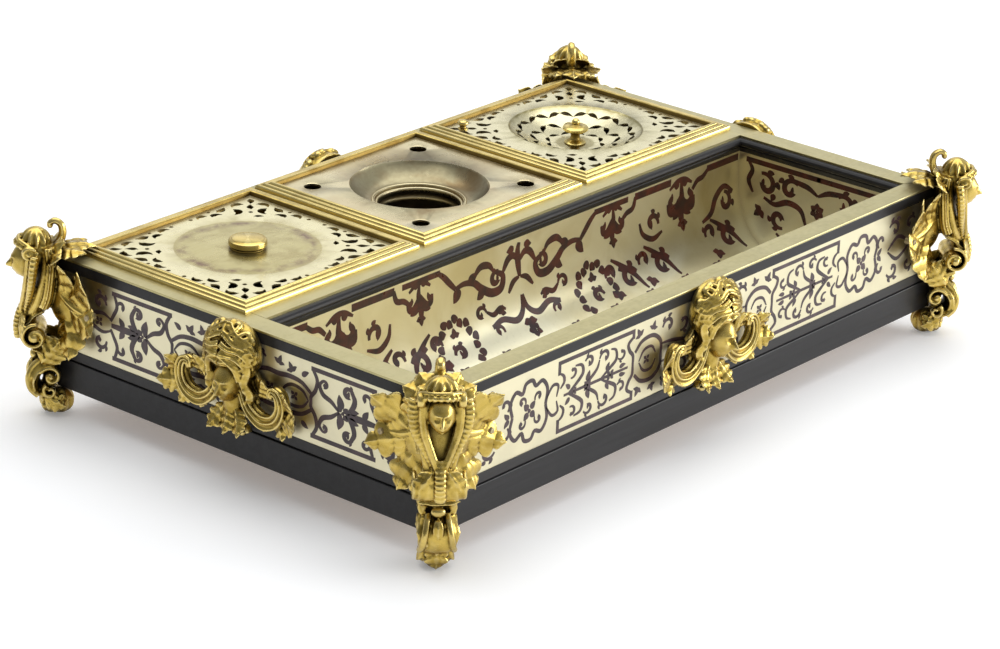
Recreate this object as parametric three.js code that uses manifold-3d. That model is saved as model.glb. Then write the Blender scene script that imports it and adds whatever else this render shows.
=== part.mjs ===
// A desk inkstand in the style of about 1700: a low oak case veneered in ebony and brass marquetry,
// standing on four gilt corner mounts. The front half is a coved pen tray. The back half holds three
// square wells, each with a lift-out unit: an ink pot with a flat cover, a quill stand with an open
// bowl, and a pounce box with a pierced dish. All sizes are in millimetres, +X runs along the front
// from left to right, +Y towards the back and +Z up. The origin is on the ground under the centre.

import * as THREE from "three";
import { mergeVertices } from "three/addons/utils/BufferGeometryUtils.js";
import Module from "manifold-3d";

const wasm = await Module();
wasm.setup();

// ---------------------------------------------------------------- driving sizes

// The case, over its ebony faces.
const CASE_LENGTH = 370;
const CASE_DEPTH = 232;
const FOOT_CLEARANCE = 13.4; // from the ground to the underside of the case
const PLINTH_HEIGHT = 14.6;
const FILLET_HEIGHT = 5.4;
const PANEL_HEIGHT = 38.2;
const BAND_HEIGHT = 5.2;
const RIM_THICKNESS = 1.2;

// How far each layer of a side stands behind (+) or in front of (-) the ebony face.
const RIM_PROUD = 0.4;
const PLINTH_PROUD = 0.5;
const PANEL_SUNK = 0.3;
const SHADOW_LINE = 0.8; // height and depth of the groove over the plinth
const VENEER_BACK = 2.5; // depth of the back of every veneer, where the oak begins
const WALL_BACK = 10; // depth of the inner face of the oak walls
const RIM_WIDTH = 11.5; // depth of the inner edge of the brass rim
const BASE_THICKNESS = 4.5;

// The pen tray.
const TRAY_DEPTH = 100; // front to back, inside the brass rim
const TRAY_FLOOR = 20; // height of the tray floor above the ground
const TRAY_SKIN = 1.5;
const COVE_REACH = 30; // how far the curved part of the tray reaches out over its floor
const COVE_RISE = 0.5; // how far up the wall the cove keeps its curve, as a share of the height
const BEAD_DROP = 7; // height of the ebony bead below the rim

// The three units.
const RAIL_WIDTH = 9; // brass left showing between the tray and the units
const SIDE_MARGIN = 8; // brass left showing outside the units, left and right
const BACK_MARGIN = 3;
const UNIT_GAP = 3.6; // brass left showing between two units
const SKIRT_CLEARANCE = 1; // from the edge of a well to the skirt that drops into it
const SKIRT_WALL = 2;
const FRAME_WIDTH = 7.2; // width of the reeded frame
const FRAME_HEIGHT = 3.5;
const LEDGE_HEIGHT = 0.5;
const SKIRT_DEPTH = 9;
const PLATE_CLEARANCE = 0.3;
const PLATE_THICKNESS = 0.8;
const BOWL_BORDER = 12.8; // from the bowl's rim to the near edge of its plate
const BOWL_DEPTH = 8;
const SHEET = 1.2; // thickness of the bowl's and the dish's metal
const NECK_RADIUS = 20;
const NECK_LENGTH = 7;
const QUILL_HOLE_RADIUS = 4.2;
const QUILL_HOLE_INSET = 12;
const POT_WALL = 1.8;
const POT_BORDER = 2.5; // from the inside of the skirt to the inside of the pot
const POT_CLEARANCE = 5; // from the bottom of a pot to the base board

// The gilt mounts.
const MOUNT_GAP = 0.3; // between the back of a mount and the case
const HEAD_RISE = 18; // height of a corner mount's crest above the rim
const WING_LENGTH = 40;
const MASK_RISE = 3;
const MASK_WIDTH = 84;
const MASK_PROJECTION = 15;

// ---------------------------------------------------------------- sizes that follow

const PLINTH_TOP = FOOT_CLEARANCE + PLINTH_HEIGHT;
const FILLET_TOP = PLINTH_TOP + FILLET_HEIGHT;
const PANEL_TOP = FILLET_TOP + PANEL_HEIGHT;
const BAND_TOP = PANEL_TOP + BAND_HEIGHT;
const DECK = BAND_TOP + RIM_THICKNESS;
const BASE_TOP = FOOT_CLEARANCE + BASE_THICKNESS;

const TRAY_HALF_LENGTH = CASE_LENGTH / 2 - RIM_WIDTH;
const TRAY_FRONT = -CASE_DEPTH / 2 + RIM_WIDTH;
const TRAY_BACK = TRAY_FRONT + TRAY_DEPTH;
const TRAY_MIDDLE = (TRAY_FRONT + TRAY_BACK) / 2;
const DIVIDER_FRONT = TRAY_BACK + TRAY_SKIN;

const UNIT_FRONT = TRAY_BACK + RAIL_WIDTH;
const UNIT_BACK = CASE_DEPTH / 2 - BACK_MARGIN;
const UNIT_DEPTH = UNIT_BACK - UNIT_FRONT;
const UNIT_MIDDLE = (UNIT_FRONT + UNIT_BACK) / 2;
const UNIT_LENGTH = (CASE_LENGTH - 2 * SIDE_MARGIN - 2 * UNIT_GAP) / 3;
const UNIT_PITCH = UNIT_LENGTH + UNIT_GAP;
const UNIT_SEAT = RIM_WIDTH - Math.min(SIDE_MARGIN, BACK_MARGIN); // brass under a unit's edge
const WELL_FRONT = UNIT_FRONT + UNIT_SEAT;
const WELL_BACK = CASE_DEPTH / 2 - RIM_WIDTH;
const WALL_FACE = CASE_DEPTH / 2 - WALL_BACK;

const SKIRT_OUT = UNIT_SEAT + SKIRT_CLEARANCE;
const LEDGE_EDGE = SKIRT_OUT + SKIRT_WALL;
const PLATE_EDGE = FRAME_WIDTH + PLATE_CLEARANCE;
const PLATE_LENGTH = UNIT_LENGTH - 2 * PLATE_EDGE;
const PLATE_DEPTH = UNIT_DEPTH - 2 * PLATE_EDGE;
const PLATE_TOP = LEDGE_HEIGHT + PLATE_THICKNESS;
const UNIT_SPAN = Math.min(UNIT_LENGTH, UNIT_DEPTH);
const BOWL_RADIUS = UNIT_SPAN / 2 - PLATE_EDGE - BOWL_BORDER;
const POT_RADIUS = UNIT_SPAN / 2 - LEDGE_EDGE - POT_BORDER;
const POT_BOTTOM = BASE_TOP + POT_CLEARANCE - DECK;

const ROUND = 28; // sides of a turned piece
const SMALL_ROUND = 16;
const QUARTER_TURN = Math.PI / 2;

// ---------------------------------------------------------------- materials

const metal = (color, roughness) =>
  new THREE.MeshStandardMaterial({ color, roughness, metalness: 1 });
const plain = (color, roughness) =>
  new THREE.MeshStandardMaterial({ color, roughness, metalness: 0 });

const GILT = metal(0xd1a24a, 0.28);
const BRASS = metal(0xb9ac78, 0.34);
const PIERCED_BRASS = metal(0xcdc492, 0.3);
const POT_METAL = metal(0x6d5c3a, 0.5);
const EBONY = plain(0x14151a, 0.25);
const MARQUETRY = metal(0xb8a98a, 0.36);
const OAK = plain(0x8a6a42, 0.7);

// ---------------------------------------------------------------- making solids

/** The manifold-3d solid of a closed three.js geometry. */
function solid(geometry) {
  const bare = geometry.clone();
  bare.deleteAttribute("normal");
  bare.deleteAttribute("uv");
  const merged = mergeVertices(bare, 1e-4);
  return new wasm.Manifold(
    new wasm.Mesh({
      numProp: 3,
      vertProperties: merged.attributes.position.array,
      triVerts: new Uint32Array(merged.index.array),
    }),
  );
}

/** The three.js geometry of a manifold-3d solid, flat-shaded. */
function geometryOf(body) {
  const mesh = body.getMesh();
  const geometry = new THREE.BufferGeometry()
    .setAttribute("position", new THREE.BufferAttribute(mesh.vertProperties, 3))
    .setIndex(new THREE.BufferAttribute(mesh.triVerts, 1))
    .toNonIndexed();
  geometry.computeVertexNormals();
  return geometry;
}

/** One geometry joined from several that overlap. */
function joined(...geometries) {
  return geometryOf(geometries.map(solid).reduce((whole, part) => whole.add(part)));
}

/** The first geometry with the others cut out of it. */
function cut(geometry, ...tools) {
  return geometryOf(tools.map(solid).reduce((whole, tool) => whole.subtract(tool), solid(geometry)));
}

/** A named mesh. */
function piece(name, geometry, material) {
  const mesh = new THREE.Mesh(geometry, material);
  mesh.name = name;
  return mesh;
}

/** A group of meshes or groups. */
function group(...children) {
  const made = new THREE.Group();
  made.add(...children);
  return made;
}

/** A box between two corners. */
function box([x0, y0, z0], [x1, y1, z1]) {
  return new THREE.BoxGeometry(x1 - x0, y1 - y0, z1 - z0).translate(
    (x0 + x1) / 2,
    (y0 + y1) / 2,
    (z0 + z1) / 2,
  );
}

/** A turned piece about the Z axis; the outline is [radius, z] points that close on themselves or the axis. */
function turned(outline, sides = ROUND) {
  return new THREE.LatheGeometry(
    outline.map(([radius, z]) => new THREE.Vector2(radius, z)),
    sides,
  ).rotateX(QUARTER_TURN);
}

/** A flat plate of a shape in X and Y, from z0 up to z1. */
function plate(shape, z0, z1, curveSegments = 8) {
  const options = { depth: z1 - z0, bevelEnabled: false, curveSegments };
  return new THREE.ExtrudeGeometry(shape, options).translate(0, 0, z0);
}

/** A rectangle about the origin, as a shape. */
function rectangle(length, depth) {
  return new THREE.Shape([
    new THREE.Vector2(-length / 2, -depth / 2),
    new THREE.Vector2(length / 2, -depth / 2),
    new THREE.Vector2(length / 2, depth / 2),
    new THREE.Vector2(-length / 2, depth / 2),
  ]);
}

/** A round hole to put in a shape. */
function roundHole(x, y, radius) {
  return new THREE.Path().absarc(x, y, radius, 0, 2 * Math.PI, true);
}

// ---------------------------------------------------------------- mitred mouldings

/**
 * One side of a rectangular ring of moulding, with mitred ends. The profile is a list of
 * [depth, z] points, depth being measured in from the outer edge. The bar lies along X.
 */
function mitredBar(profile, length, toCentre) {
  const section = new THREE.Shape(profile.map(([depth, z]) => new THREE.Vector2(depth, z)));
  const bar = new THREE.ExtrudeGeometry(section, { depth: 1, bevelEnabled: false });
  const at = bar.getAttribute("position");
  for (let i = 0; i < at.count; i++) {
    const depth = at.getX(i);
    const along = (at.getZ(i) - 0.5) * (length - 2 * depth);
    at.setXYZ(i, along, depth - toCentre, at.getY(i));
  }
  return bar;
}

/** The four sides of a mitred ring, each a mesh of its own, about the ring's centre. */
function mitredRing(name, profile, length, depth, material) {
  const sides = ["front", "right", "back", "left"];
  return group(
    ...sides.map((side, turn) => {
      const [run, reach] = turn % 2 ? [depth, length] : [length, depth];
      const bar = piece(name + "_" + side, mitredBar(profile, run, reach / 2), material);
      bar.rotation.z = turn * QUARTER_TURN;
      return bar;
    }),
  );
}

/** A whole rectangular ring of one moulding in one piece, from the same kind of profile. */
function squareRing(profile, length, depth) {
  const far = 2 * (length + depth);
  const points = [...profile, profile[0]].map(([inset, z]) => [far - inset, z]);
  const ring = turned(points, 4).rotateZ(QUARTER_TURN / 2);
  const at = ring.getAttribute("position");
  for (let i = 0; i < at.count; i++) {
    const inset = far - Math.hypot(at.getX(i), at.getY(i));
    at.setXY(
      i,
      Math.sign(at.getX(i)) * (length / 2 - inset),
      Math.sign(at.getY(i)) * (depth / 2 - inset),
    );
  }
  return ring;
}

/** A rectangular profile between two depths and two heights. */
function flatProfile(depth0, depth1, z0, z1) {
  return [
    [depth0, z0],
    [depth1, z0],
    [depth1, z1],
    [depth0, z1],
  ];
}

// ---------------------------------------------------------------- the case

/** The layers of the four sides, from the plinth up to the brass rim. */
function caseSides() {
  const fillet = [
    [SHADOW_LINE, PLINTH_TOP],
    [VENEER_BACK, PLINTH_TOP],
    [VENEER_BACK, FILLET_TOP],
    [0, FILLET_TOP],
    [0, PLINTH_TOP + SHADOW_LINE],
    [SHADOW_LINE, PLINTH_TOP + SHADOW_LINE],
  ];
  const layers = [
    ["plinth", flatProfile(-PLINTH_PROUD, VENEER_BACK, FOOT_CLEARANCE, PLINTH_TOP), EBONY],
    ["fillet", fillet, EBONY],
    ["panel", flatProfile(PANEL_SUNK, VENEER_BACK, FILLET_TOP, PANEL_TOP), MARQUETRY],
    ["band", flatProfile(0, VENEER_BACK, PANEL_TOP, BAND_TOP), EBONY],
    ["wall", flatProfile(VENEER_BACK, WALL_BACK, BASE_TOP, BAND_TOP), OAK],
    ["rim", flatProfile(-RIM_PROUD, RIM_WIDTH, BAND_TOP, DECK), BRASS],
  ];
  return group(
    ...layers.map(([name, profile, material]) =>
      mitredRing(name, profile, CASE_LENGTH, CASE_DEPTH, material),
    ),
  );
}

/** The base board, inside the ring of the plinth. */
function baseBoard() {
  const x = CASE_LENGTH / 2 - VENEER_BACK;
  const y = CASE_DEPTH / 2 - VENEER_BACK;
  return piece("base_board", box([-x, -y, FOOT_CLEARANCE], [x, y, BASE_TOP]), OAK);
}

/** The boards between the tray and the wells and between the wells, each under its brass strip. */
function dividers() {
  const inside = CASE_LENGTH / 2 - WALL_BACK;
  const board = box([-inside, DIVIDER_FRONT, BASE_TOP], [inside, WELL_FRONT, BAND_TOP]);
  const rail = box(
    [-TRAY_HALF_LENGTH, TRAY_BACK, BAND_TOP],
    [TRAY_HALF_LENGTH, WELL_FRONT, DECK],
  );
  const halfStrip = UNIT_GAP / 2 + UNIT_SEAT;
  const wells = [-1, 1].map((side) => {
    const name = side < 0 ? "left" : "right";
    const x = (side * UNIT_PITCH) / 2;
    const partition = box(
      [x - halfStrip, WELL_FRONT, BASE_TOP],
      [x + halfStrip, WALL_FACE, BAND_TOP],
    );
    const strip = box([x - halfStrip, WELL_FRONT, BAND_TOP], [x + halfStrip, WELL_BACK, DECK]);
    return group(
      piece("partition_" + name, partition, OAK),
      piece("deck_strip_" + name, strip, BRASS),
    );
  });
  return group(piece("tray_divider", board, OAK), piece("deck_rail", rail, BRASS), ...wells);
}

// ---------------------------------------------------------------- the pen tray

/** The coved block that the tray is hollowed from: straight behind the bead, then curved. */
function trayTrough() {
  const section = new THREE.Shape();
  const straight = BAND_TOP - BEAD_DROP;
  const pull = TRAY_FLOOR + COVE_RISE * (straight - TRAY_FLOOR);
  const bow = COVE_REACH / 8;
  section.moveTo(DIVIDER_FRONT, BASE_TOP);
  section.lineTo(DIVIDER_FRONT, BAND_TOP);
  section.lineTo(TRAY_BACK, BAND_TOP);
  section.lineTo(TRAY_BACK, straight);
  const backFloor = TRAY_BACK - COVE_REACH;
  section.bezierCurveTo(TRAY_BACK, pull, TRAY_BACK - bow, TRAY_FLOOR, backFloor, TRAY_FLOOR);
  section.lineTo(TRAY_FRONT + COVE_REACH, TRAY_FLOOR);
  section.bezierCurveTo(TRAY_FRONT + bow, TRAY_FLOOR, TRAY_FRONT, pull, TRAY_FRONT, straight);
  section.lineTo(TRAY_FRONT, BAND_TOP);
  section.lineTo(TRAY_FRONT - TRAY_SKIN, BAND_TOP);
  section.lineTo(TRAY_FRONT - TRAY_SKIN, BASE_TOP);
  const options = { depth: 2 * TRAY_HALF_LENGTH, bevelEnabled: false, curveSegments: 16 };
  const trough = new THREE.ExtrudeGeometry(section, options)
    .translate(0, 0, -TRAY_HALF_LENGTH)
    .rotateX(QUARTER_TURN)
    .rotateZ(QUARTER_TURN);
  return piece("tray_trough", trough, MARQUETRY);
}

/** The two marquetry end panels of the tray. */
function trayEnds() {
  const inner = TRAY_HALF_LENGTH;
  const outer = CASE_LENGTH / 2 - WALL_BACK;
  return group(
    ...[-1, 1].map((side) => {
      const [x0, x1] = side < 0 ? [-outer, -inner] : [inner, outer];
      const low = [x0, TRAY_FRONT - TRAY_SKIN, BASE_TOP];
      const high = [x1, DIVIDER_FRONT, BAND_TOP];
      return piece("tray_end_" + (side < 0 ? "left" : "right"), box(low, high), MARQUETRY);
    }),
  );
}

/** The ebony bead that lines the tray just under the brass: a half round over a small cove. */
function trayBead() {
  const radius = 2;
  const centre = BAND_TOP - radius;
  const round = Array.from({ length: 7 }, (_, i) => {
    const angle = QUARTER_TURN * (1 - i / 3);
    return [1 + radius * Math.cos(angle), centre + radius * Math.sin(angle)];
  });
  const profile = [
    [0, BAND_TOP],
    [0, BAND_TOP - BEAD_DROP],
    [0.6, BAND_TOP - BEAD_DROP],
    [1.4, centre - 1.3 * radius],
    ...round.reverse(),
  ];
  const ring = mitredRing("tray_bead", profile, 2 * TRAY_HALF_LENGTH, TRAY_DEPTH, EBONY);
  ring.position.y = TRAY_MIDDLE;
  return ring;
}

// ---------------------------------------------------------------- the lift-out units

/** The reeded frame of a unit, with the ledge that carries its plate and the skirt below. */
function unitFrame(name) {
  const reeds = [0, 1, 2].flatMap((reed) => {
    const width = FRAME_WIDTH / 3;
    const crest = FRAME_HEIGHT - 0.55 * (2 - reed);
    const start = reed * width;
    return [
      [start + 0.1 * width, crest - 0.8],
      [start + 0.28 * width, crest - 0.2],
      [start + 0.6 * width, crest],
      [start + 0.9 * width, crest - 0.3],
    ];
  });
  const profile = [
    [0, 0],
    [0, 0.9],
    ...reeds,
    [FRAME_WIDTH, FRAME_HEIGHT - 0.5],
    [FRAME_WIDTH, LEDGE_HEIGHT],
    [LEDGE_EDGE, LEDGE_HEIGHT],
    [LEDGE_EDGE, -SKIRT_DEPTH],
    [SKIRT_OUT, -SKIRT_DEPTH],
    [SKIRT_OUT, 0],
  ];
  return piece(name, squareRing(profile, UNIT_LENGTH, UNIT_DEPTH), GILT);
}

/** A round pot under a flange that meets the bottom of the skirt. */
function pot(name, material) {
  const top = -SKIRT_DEPTH;
  const flange = rectangle(UNIT_LENGTH - 2 * SKIRT_OUT, UNIT_DEPTH - 2 * SKIRT_OUT);
  flange.holes.push(roundHole(0, 0, POT_RADIUS + POT_WALL / 2));
  const cup = turned([
    [0, POT_BOTTOM],
    [POT_RADIUS - 3, POT_BOTTOM],
    [POT_RADIUS + POT_WALL, POT_BOTTOM + 5],
    [POT_RADIUS + POT_WALL, top],
    [POT_RADIUS, top],
    [POT_RADIUS, POT_BOTTOM + 5],
    [POT_RADIUS - 4, POT_BOTTOM + POT_WALL],
    [0, POT_BOTTOM + POT_WALL],
  ]);
  return piece(name, joined(plate(flange, top - POT_WALL, top), cup), material);
}

/** The outline of a plate that drops into a frame, with any round holes. */
function plateShape(...holes) {
  const shape = rectangle(PLATE_LENGTH, PLATE_DEPTH);
  shape.holes.push(...holes);
  return shape;
}

/** A smooth bowl sunk in a plate, open at the bottom: its outline from the rim down and back. */
function bowlOutline(mouth, floor) {
  const depths = [0, 0.14, 0.42, 0.72, 0.92, 1];
  const insides = depths.map((share, i) => {
    const radius = mouth - (mouth - floor) * (i / (depths.length - 1)) ** 1.25;
    return [radius, PLATE_TOP - BOWL_DEPTH * share];
  });
  const outsides = insides.map(([radius, z]) => [radius + 0.4 * SHEET, z - SHEET]);
  return { insides, outsides };
}

/** The left unit: an ink pot under a flat cover with a turned knob. */
function inkUnit() {
  const knob = turned(
    [
      [0, PLATE_TOP],
      [7.6, PLATE_TOP],
      [7.6, PLATE_TOP + 0.7],
      [8.2, PLATE_TOP + 1.1],
      [9, PLATE_TOP + 1.7],
      [9, PLATE_TOP + 4.1],
      [8.5, PLATE_TOP + 4.7],
      [0, PLATE_TOP + 4.7],
    ],
    SMALL_ROUND,
  );
  const cover = plate(plateShape(), LEDGE_HEIGHT, PLATE_TOP);
  return group(
    unitFrame("left_frame"),
    pot("left_pot", POT_METAL),
    piece("left_cover", cover, PIERCED_BRASS),
    piece("left_knob", knob, GILT),
  );
}

/** The middle unit: a plate with a bowl, a ringed neck and four holes for quills. */
function quillUnit() {
  const x = PLATE_LENGTH / 2 - QUILL_HOLE_INSET;
  const y = PLATE_DEPTH / 2 - QUILL_HOLE_INSET;
  const quills = [
    [-x, -y],
    [x, -y],
    [x, y],
    [-x, y],
  ].map(([cx, cy]) => roundHole(cx, cy, QUILL_HOLE_RADIUS));
  const flat = plateShape(roundHole(0, 0, BOWL_RADIUS - 0.3), ...quills);
  const neck = NECK_RADIUS * (BOWL_RADIUS / 34);
  const { insides, outsides } = bowlOutline(BOWL_RADIUS, neck + 3.6);
  const bottom = PLATE_TOP - BOWL_DEPTH - NECK_LENGTH;
  const rim = [BOWL_RADIUS + 0.4 * SHEET, PLATE_TOP];
  const bowl = turned([
    rim,
    ...insides,
    [neck + 1.6, bottom + NECK_LENGTH],
    [neck + 1.6, bottom + NECK_LENGTH - 1.6],
    [neck, bottom + NECK_LENGTH - 1.6],
    [neck, bottom],
    [neck + SHEET, bottom],
    [neck + SHEET, bottom + NECK_LENGTH - 3],
    ...outsides.reverse(),
    rim,
  ]);
  return group(
    unitFrame("middle_frame"),
    pot("middle_pot", POT_METAL),
    piece("middle_plate", joined(plate(flat, LEDGE_HEIGHT, PLATE_TOP, 6), bowl), PIERCED_BRASS),
  );
}

/** The right unit: a pounce box under a plate with a shallow dish, a spool knob and a stud. */
function pounceUnit() {
  const hub = 6;
  const drop = PLATE_TOP - BOWL_DEPTH;
  const { insides, outsides } = bowlOutline(BOWL_RADIUS, hub + 3);
  const dish = turned([
    [0, drop - SHEET],
    ...outsides.reverse(),
    [BOWL_RADIUS + 0.4 * SHEET, PLATE_TOP],
    ...insides,
    [0, drop],
  ]);
  const spool = turned(
    [
      [0, drop],
      [4.5, drop],
      [4.2, drop + 1.6],
      [2.4, drop + 2.8],
      [2.2, drop + 5.2],
      [4, drop + 6.4],
      [6.3, drop + 7.2],
      [6.3, drop + 8.6],
      [2, drop + 9.4],
      [1.5, drop + 12.4],
      [0, drop + 13],
    ],
    SMALL_ROUND,
  );
  const stud = turned(
    [
      [0, PLATE_TOP],
      [2.6, PLATE_TOP],
      [1.6, PLATE_TOP + 1.4],
      [2.8, PLATE_TOP + 3.4],
      [0, PLATE_TOP + 4.8],
    ],
    12,
  );
  const studMesh = piece("right_stud", stud, GILT);
  studMesh.position.set(-PLATE_LENGTH / 2 + 8, PLATE_DEPTH / 2 - 8, 0);
  const flat = plateShape(roundHole(0, 0, BOWL_RADIUS - 0.3));
  return group(
    unitFrame("right_frame"),
    pot("right_box", POT_METAL),
    piece("right_dish", joined(plate(flat, LEDGE_HEIGHT, PLATE_TOP), dish), PIERCED_BRASS),
    piece("right_knob", spool, GILT),
    studMesh,
  );
}

/** The three units in their wells. */
function units() {
  return group(
    ...[inkUnit(), quillUnit(), pounceUnit()].map((unit, place) => {
      unit.position.set((place - 1) * UNIT_PITCH, UNIT_MIDDLE, DECK);
      return unit;
    }),
  );
}

// ---------------------------------------------------------------- the gilt mounts

/** A smooth closed outline through [across, z] points, extruded to a width about Y = 0. */
function silhouette(points, width) {
  const curve = new THREE.CatmullRomCurve3(
    points.map(([across, z]) => new THREE.Vector3(across, z, 0)),
    true,
    "centripetal",
  );
  const outline = curve.getPoints(points.length * 2).slice(0, -1);
  const shape = new THREE.Shape(outline.map((p) => new THREE.Vector2(p.x, p.y)));
  return new THREE.ExtrudeGeometry(shape, { depth: width, bevelEnabled: false })
    .translate(0, 0, -width / 2)
    .rotateX(QUARTER_TURN);
}

/** An egg shape. */
function egg(radii, centre, sides = 14) {
  return new THREE.SphereGeometry(1, sides, Math.round(0.6 * sides))
    .rotateX(QUARTER_TURN)
    .scale(...radii)
    .translate(...centre);
}

/** A short round bar across the mount. */
function roll(radius, width, x, z) {
  return new THREE.CylinderGeometry(radius, radius, width, SMALL_ROUND).translate(x, 0, z);
}

/** The leaf that spreads from a corner mount along a face, towards +X (1) or towards -X (-1). */
function wing(direction) {
  const low = FILLET_TOP - 1;
  const high = DECK - 2.5;
  const rise = high - low;
  const leaf = silhouette(
    [
      [-2, low + 0.05 * rise],
      [0.2 * WING_LENGTH, low],
      [0.45 * WING_LENGTH, low + 0.12 * rise],
      [0.62 * WING_LENGTH, low + 0.42 * rise],
      [0.95 * WING_LENGTH, low + 0.5 * rise],
      [WING_LENGTH, low + 0.66 * rise],
      [0.9 * WING_LENGTH, low + 0.78 * rise],
      [0.6 * WING_LENGTH, low + 0.86 * rise],
      [0.35 * WING_LENGTH, high],
      [-2, high],
    ].map(([along, z]) => [direction * along, z]),
    5,
  );
  return leaf.translate(0, -2.4, 0);
}

/**
 * A corner mount, on the corner that faces -X and -Y: a crested bust on a scroll, a tapering leg
 * with a second scroll, a toe under the corner, and a leaf along each face.
 */
function cornerMount(name) {
  const height = (share) => share * DECK;
  const bust = silhouette(
    [
      [6, height(0.98)],
      [17.5, height(0.84)],
      [15.5, height(0.72)],
      [17, height(0.58)],
      [16.5, height(0.47)],
      [9, height(0.42)],
      [-6, height(0.45)],
      [-6, height(0.94)],
    ],
    17,
  );
  const leg = silhouette(
    [
      [9, height(0.46)],
      [8, height(0.36)],
      [10.5, height(0.27)],
      [10.5, height(0.2)],
      [5.5, height(0.13)],
      [5, height(0.05)],
      [4, 0],
      [-5, 0],
      [-7, height(0.08)],
      [-7, height(0.46)],
    ],
    12,
  );
  const sole = turned([
    [0, 0],
    [5.6, 0],
    [6.4, 2],
    [6.2, 6],
    [5, FOOT_CLEARANCE - 2 * MOUNT_GAP],
    [0, FOOT_CLEARANCE - 2 * MOUNT_GAP],
  ], SMALL_ROUND).translate(-1.5, 0, 0);
  const crest = turned([
    [0, DECK - 4],
    [9.5, DECK - 2],
    [10, DECK + 5],
    [7.5, DECK + 11],
    [3.4, DECK + 14],
    [2.2, DECK + HEAD_RISE],
    [0, DECK + HEAD_RISE],
  ], SMALL_ROUND).translate(9, 0, 0);
  const figure = [
    bust,
    leg,
    sole,
    crest,
    egg([9, 8.5, 12], [14, 0, DECK - 1.2]),
    roll(5.6, 22, 11.2, height(0.51)),
    roll(4.6, 15, 6.6, height(0.243)),
  ].map((part) => part.rotateZ(2.5 * QUARTER_TURN));
  const leaves = [wing(1), wing(-1).rotateZ(-QUARTER_TURN)];
  const back = MOUNT_GAP + PLINTH_PROUD;
  const far = 2 * WING_LENGTH;
  const corner = box([-back, -back, FOOT_CLEARANCE - MOUNT_GAP], [far, far, 2 * DECK]);
  const ground = box([-far, -far, -DECK], [far, far, 0]);
  return piece(name, cut(joined(...figure, ...leaves), corner, ground), GILT);
}

/** A mask in curled hair between two scrolls, for the middle of a side that faces -Y. */
function sideMask(name) {
  const half = MASK_WIDTH / 2;
  const low = FILLET_TOP - 6;
  const high = DECK + MASK_RISE;
  const middle = (low + high) / 2 + 3;
  const foliage = silhouette(
    [
      [-half, middle - 8],
      [-0.9 * half, middle + 3],
      [-0.62 * half, middle + 5],
      [-0.4 * half, high - 7],
      [0, high - 3],
      [0.4 * half, high - 7],
      [0.62 * half, middle + 5],
      [0.9 * half, middle + 3],
      [half, middle - 8],
      [0.62 * half, middle - 16],
      [0.3 * half, middle - 17],
      [0, low],
      [-0.3 * half, middle - 17],
      [-0.62 * half, middle - 16],
    ],
    5,
  ).translate(0, -2.5, 0);
  const face = egg([11, MASK_PROJECTION, 17], [0, 0, middle + 2]);
  const hair = egg([17, 10.5, 17], [0, 0, high - 17]);
  const back = PLINTH_PROUD + MOUNT_GAP;
  const behind = box([-MASK_WIDTH, -back, 0], [MASK_WIDTH, MASK_WIDTH, 2 * DECK]);
  return piece(name, cut(joined(foliage, face, hair), behind), GILT);
}

/** The corner mounts and the masks, each turned to its own corner or side. */
function mounts() {
  const corners = ["front_left", "front_right", "back_right", "back_left"];
  const sides = ["front", "right", "back", "left"];
  const x = CASE_LENGTH / 2;
  const y = CASE_DEPTH / 2;
  const places = [
    [-x, -y],
    [x, -y],
    [x, y],
    [-x, y],
  ];
  const faces = [
    [0, -y],
    [x, 0],
    [0, y],
    [-x, 0],
  ];
  const place = (mesh, [px, py], turn) => {
    mesh.position.set(px, py, 0);
    mesh.rotation.z = turn * QUARTER_TURN;
    return mesh;
  };
  return group(
    ...corners.map((corner, turn) => place(cornerMount("mount_" + corner), places[turn], turn)),
    ...sides.map((side, turn) => place(sideMask("mask_" + side), faces[turn], turn)),
  );
}

// ---------------------------------------------------------------- the inkstand

const inkstand = group(
  baseBoard(),
  caseSides(),
  dividers(),
  trayTrough(),
  trayEnds(),
  trayBead(),
  units(),
  mounts(),
);

export default inkstand;
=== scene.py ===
"""The looks of a desk inkstand: ebony, brass and shell marquetry, pierced brass and gilt mounts.

Every size is in millimetres until a mesh is made. +X runs along the front from left to right, +Y
goes to the back and +Z goes up. The ground is at zero, under the middle of the case.
"""

import logging
import math
from collections.abc import Callable, Iterable, Sequence
from dataclasses import dataclass, field
from enum import Enum

import bmesh
import bpy
import numpy as np
from mathutils import Matrix, Vector
from mathutils.geometry import delaunay_2d_cdt


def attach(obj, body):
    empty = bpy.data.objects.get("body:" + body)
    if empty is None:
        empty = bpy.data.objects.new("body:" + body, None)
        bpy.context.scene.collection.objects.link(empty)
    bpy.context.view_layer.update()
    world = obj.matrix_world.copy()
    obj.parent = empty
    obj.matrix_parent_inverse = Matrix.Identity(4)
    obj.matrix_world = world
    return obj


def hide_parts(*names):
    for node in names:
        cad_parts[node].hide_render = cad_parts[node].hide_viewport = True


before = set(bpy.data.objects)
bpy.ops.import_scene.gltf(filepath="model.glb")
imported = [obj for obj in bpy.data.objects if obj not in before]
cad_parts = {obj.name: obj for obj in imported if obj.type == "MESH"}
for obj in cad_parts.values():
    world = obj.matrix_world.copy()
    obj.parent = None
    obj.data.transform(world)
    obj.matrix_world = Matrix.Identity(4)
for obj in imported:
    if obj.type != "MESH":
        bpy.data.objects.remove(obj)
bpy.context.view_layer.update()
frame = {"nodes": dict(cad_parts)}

LOG = logging.getLogger("inkstand")
MM = 0.001
Colour = tuple[float, float, float]
Place = Callable[[np.ndarray, np.ndarray, np.ndarray], np.ndarray]


def vec(*values: float) -> np.ndarray:
    """A vector of floats."""
    return np.array(values, float)


def unit(v: np.ndarray) -> np.ndarray:
    """The vector, or each row of vectors, at length one."""
    return v / np.maximum(np.linalg.norm(v, axis=-1, keepdims=True), 1e-9)


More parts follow.
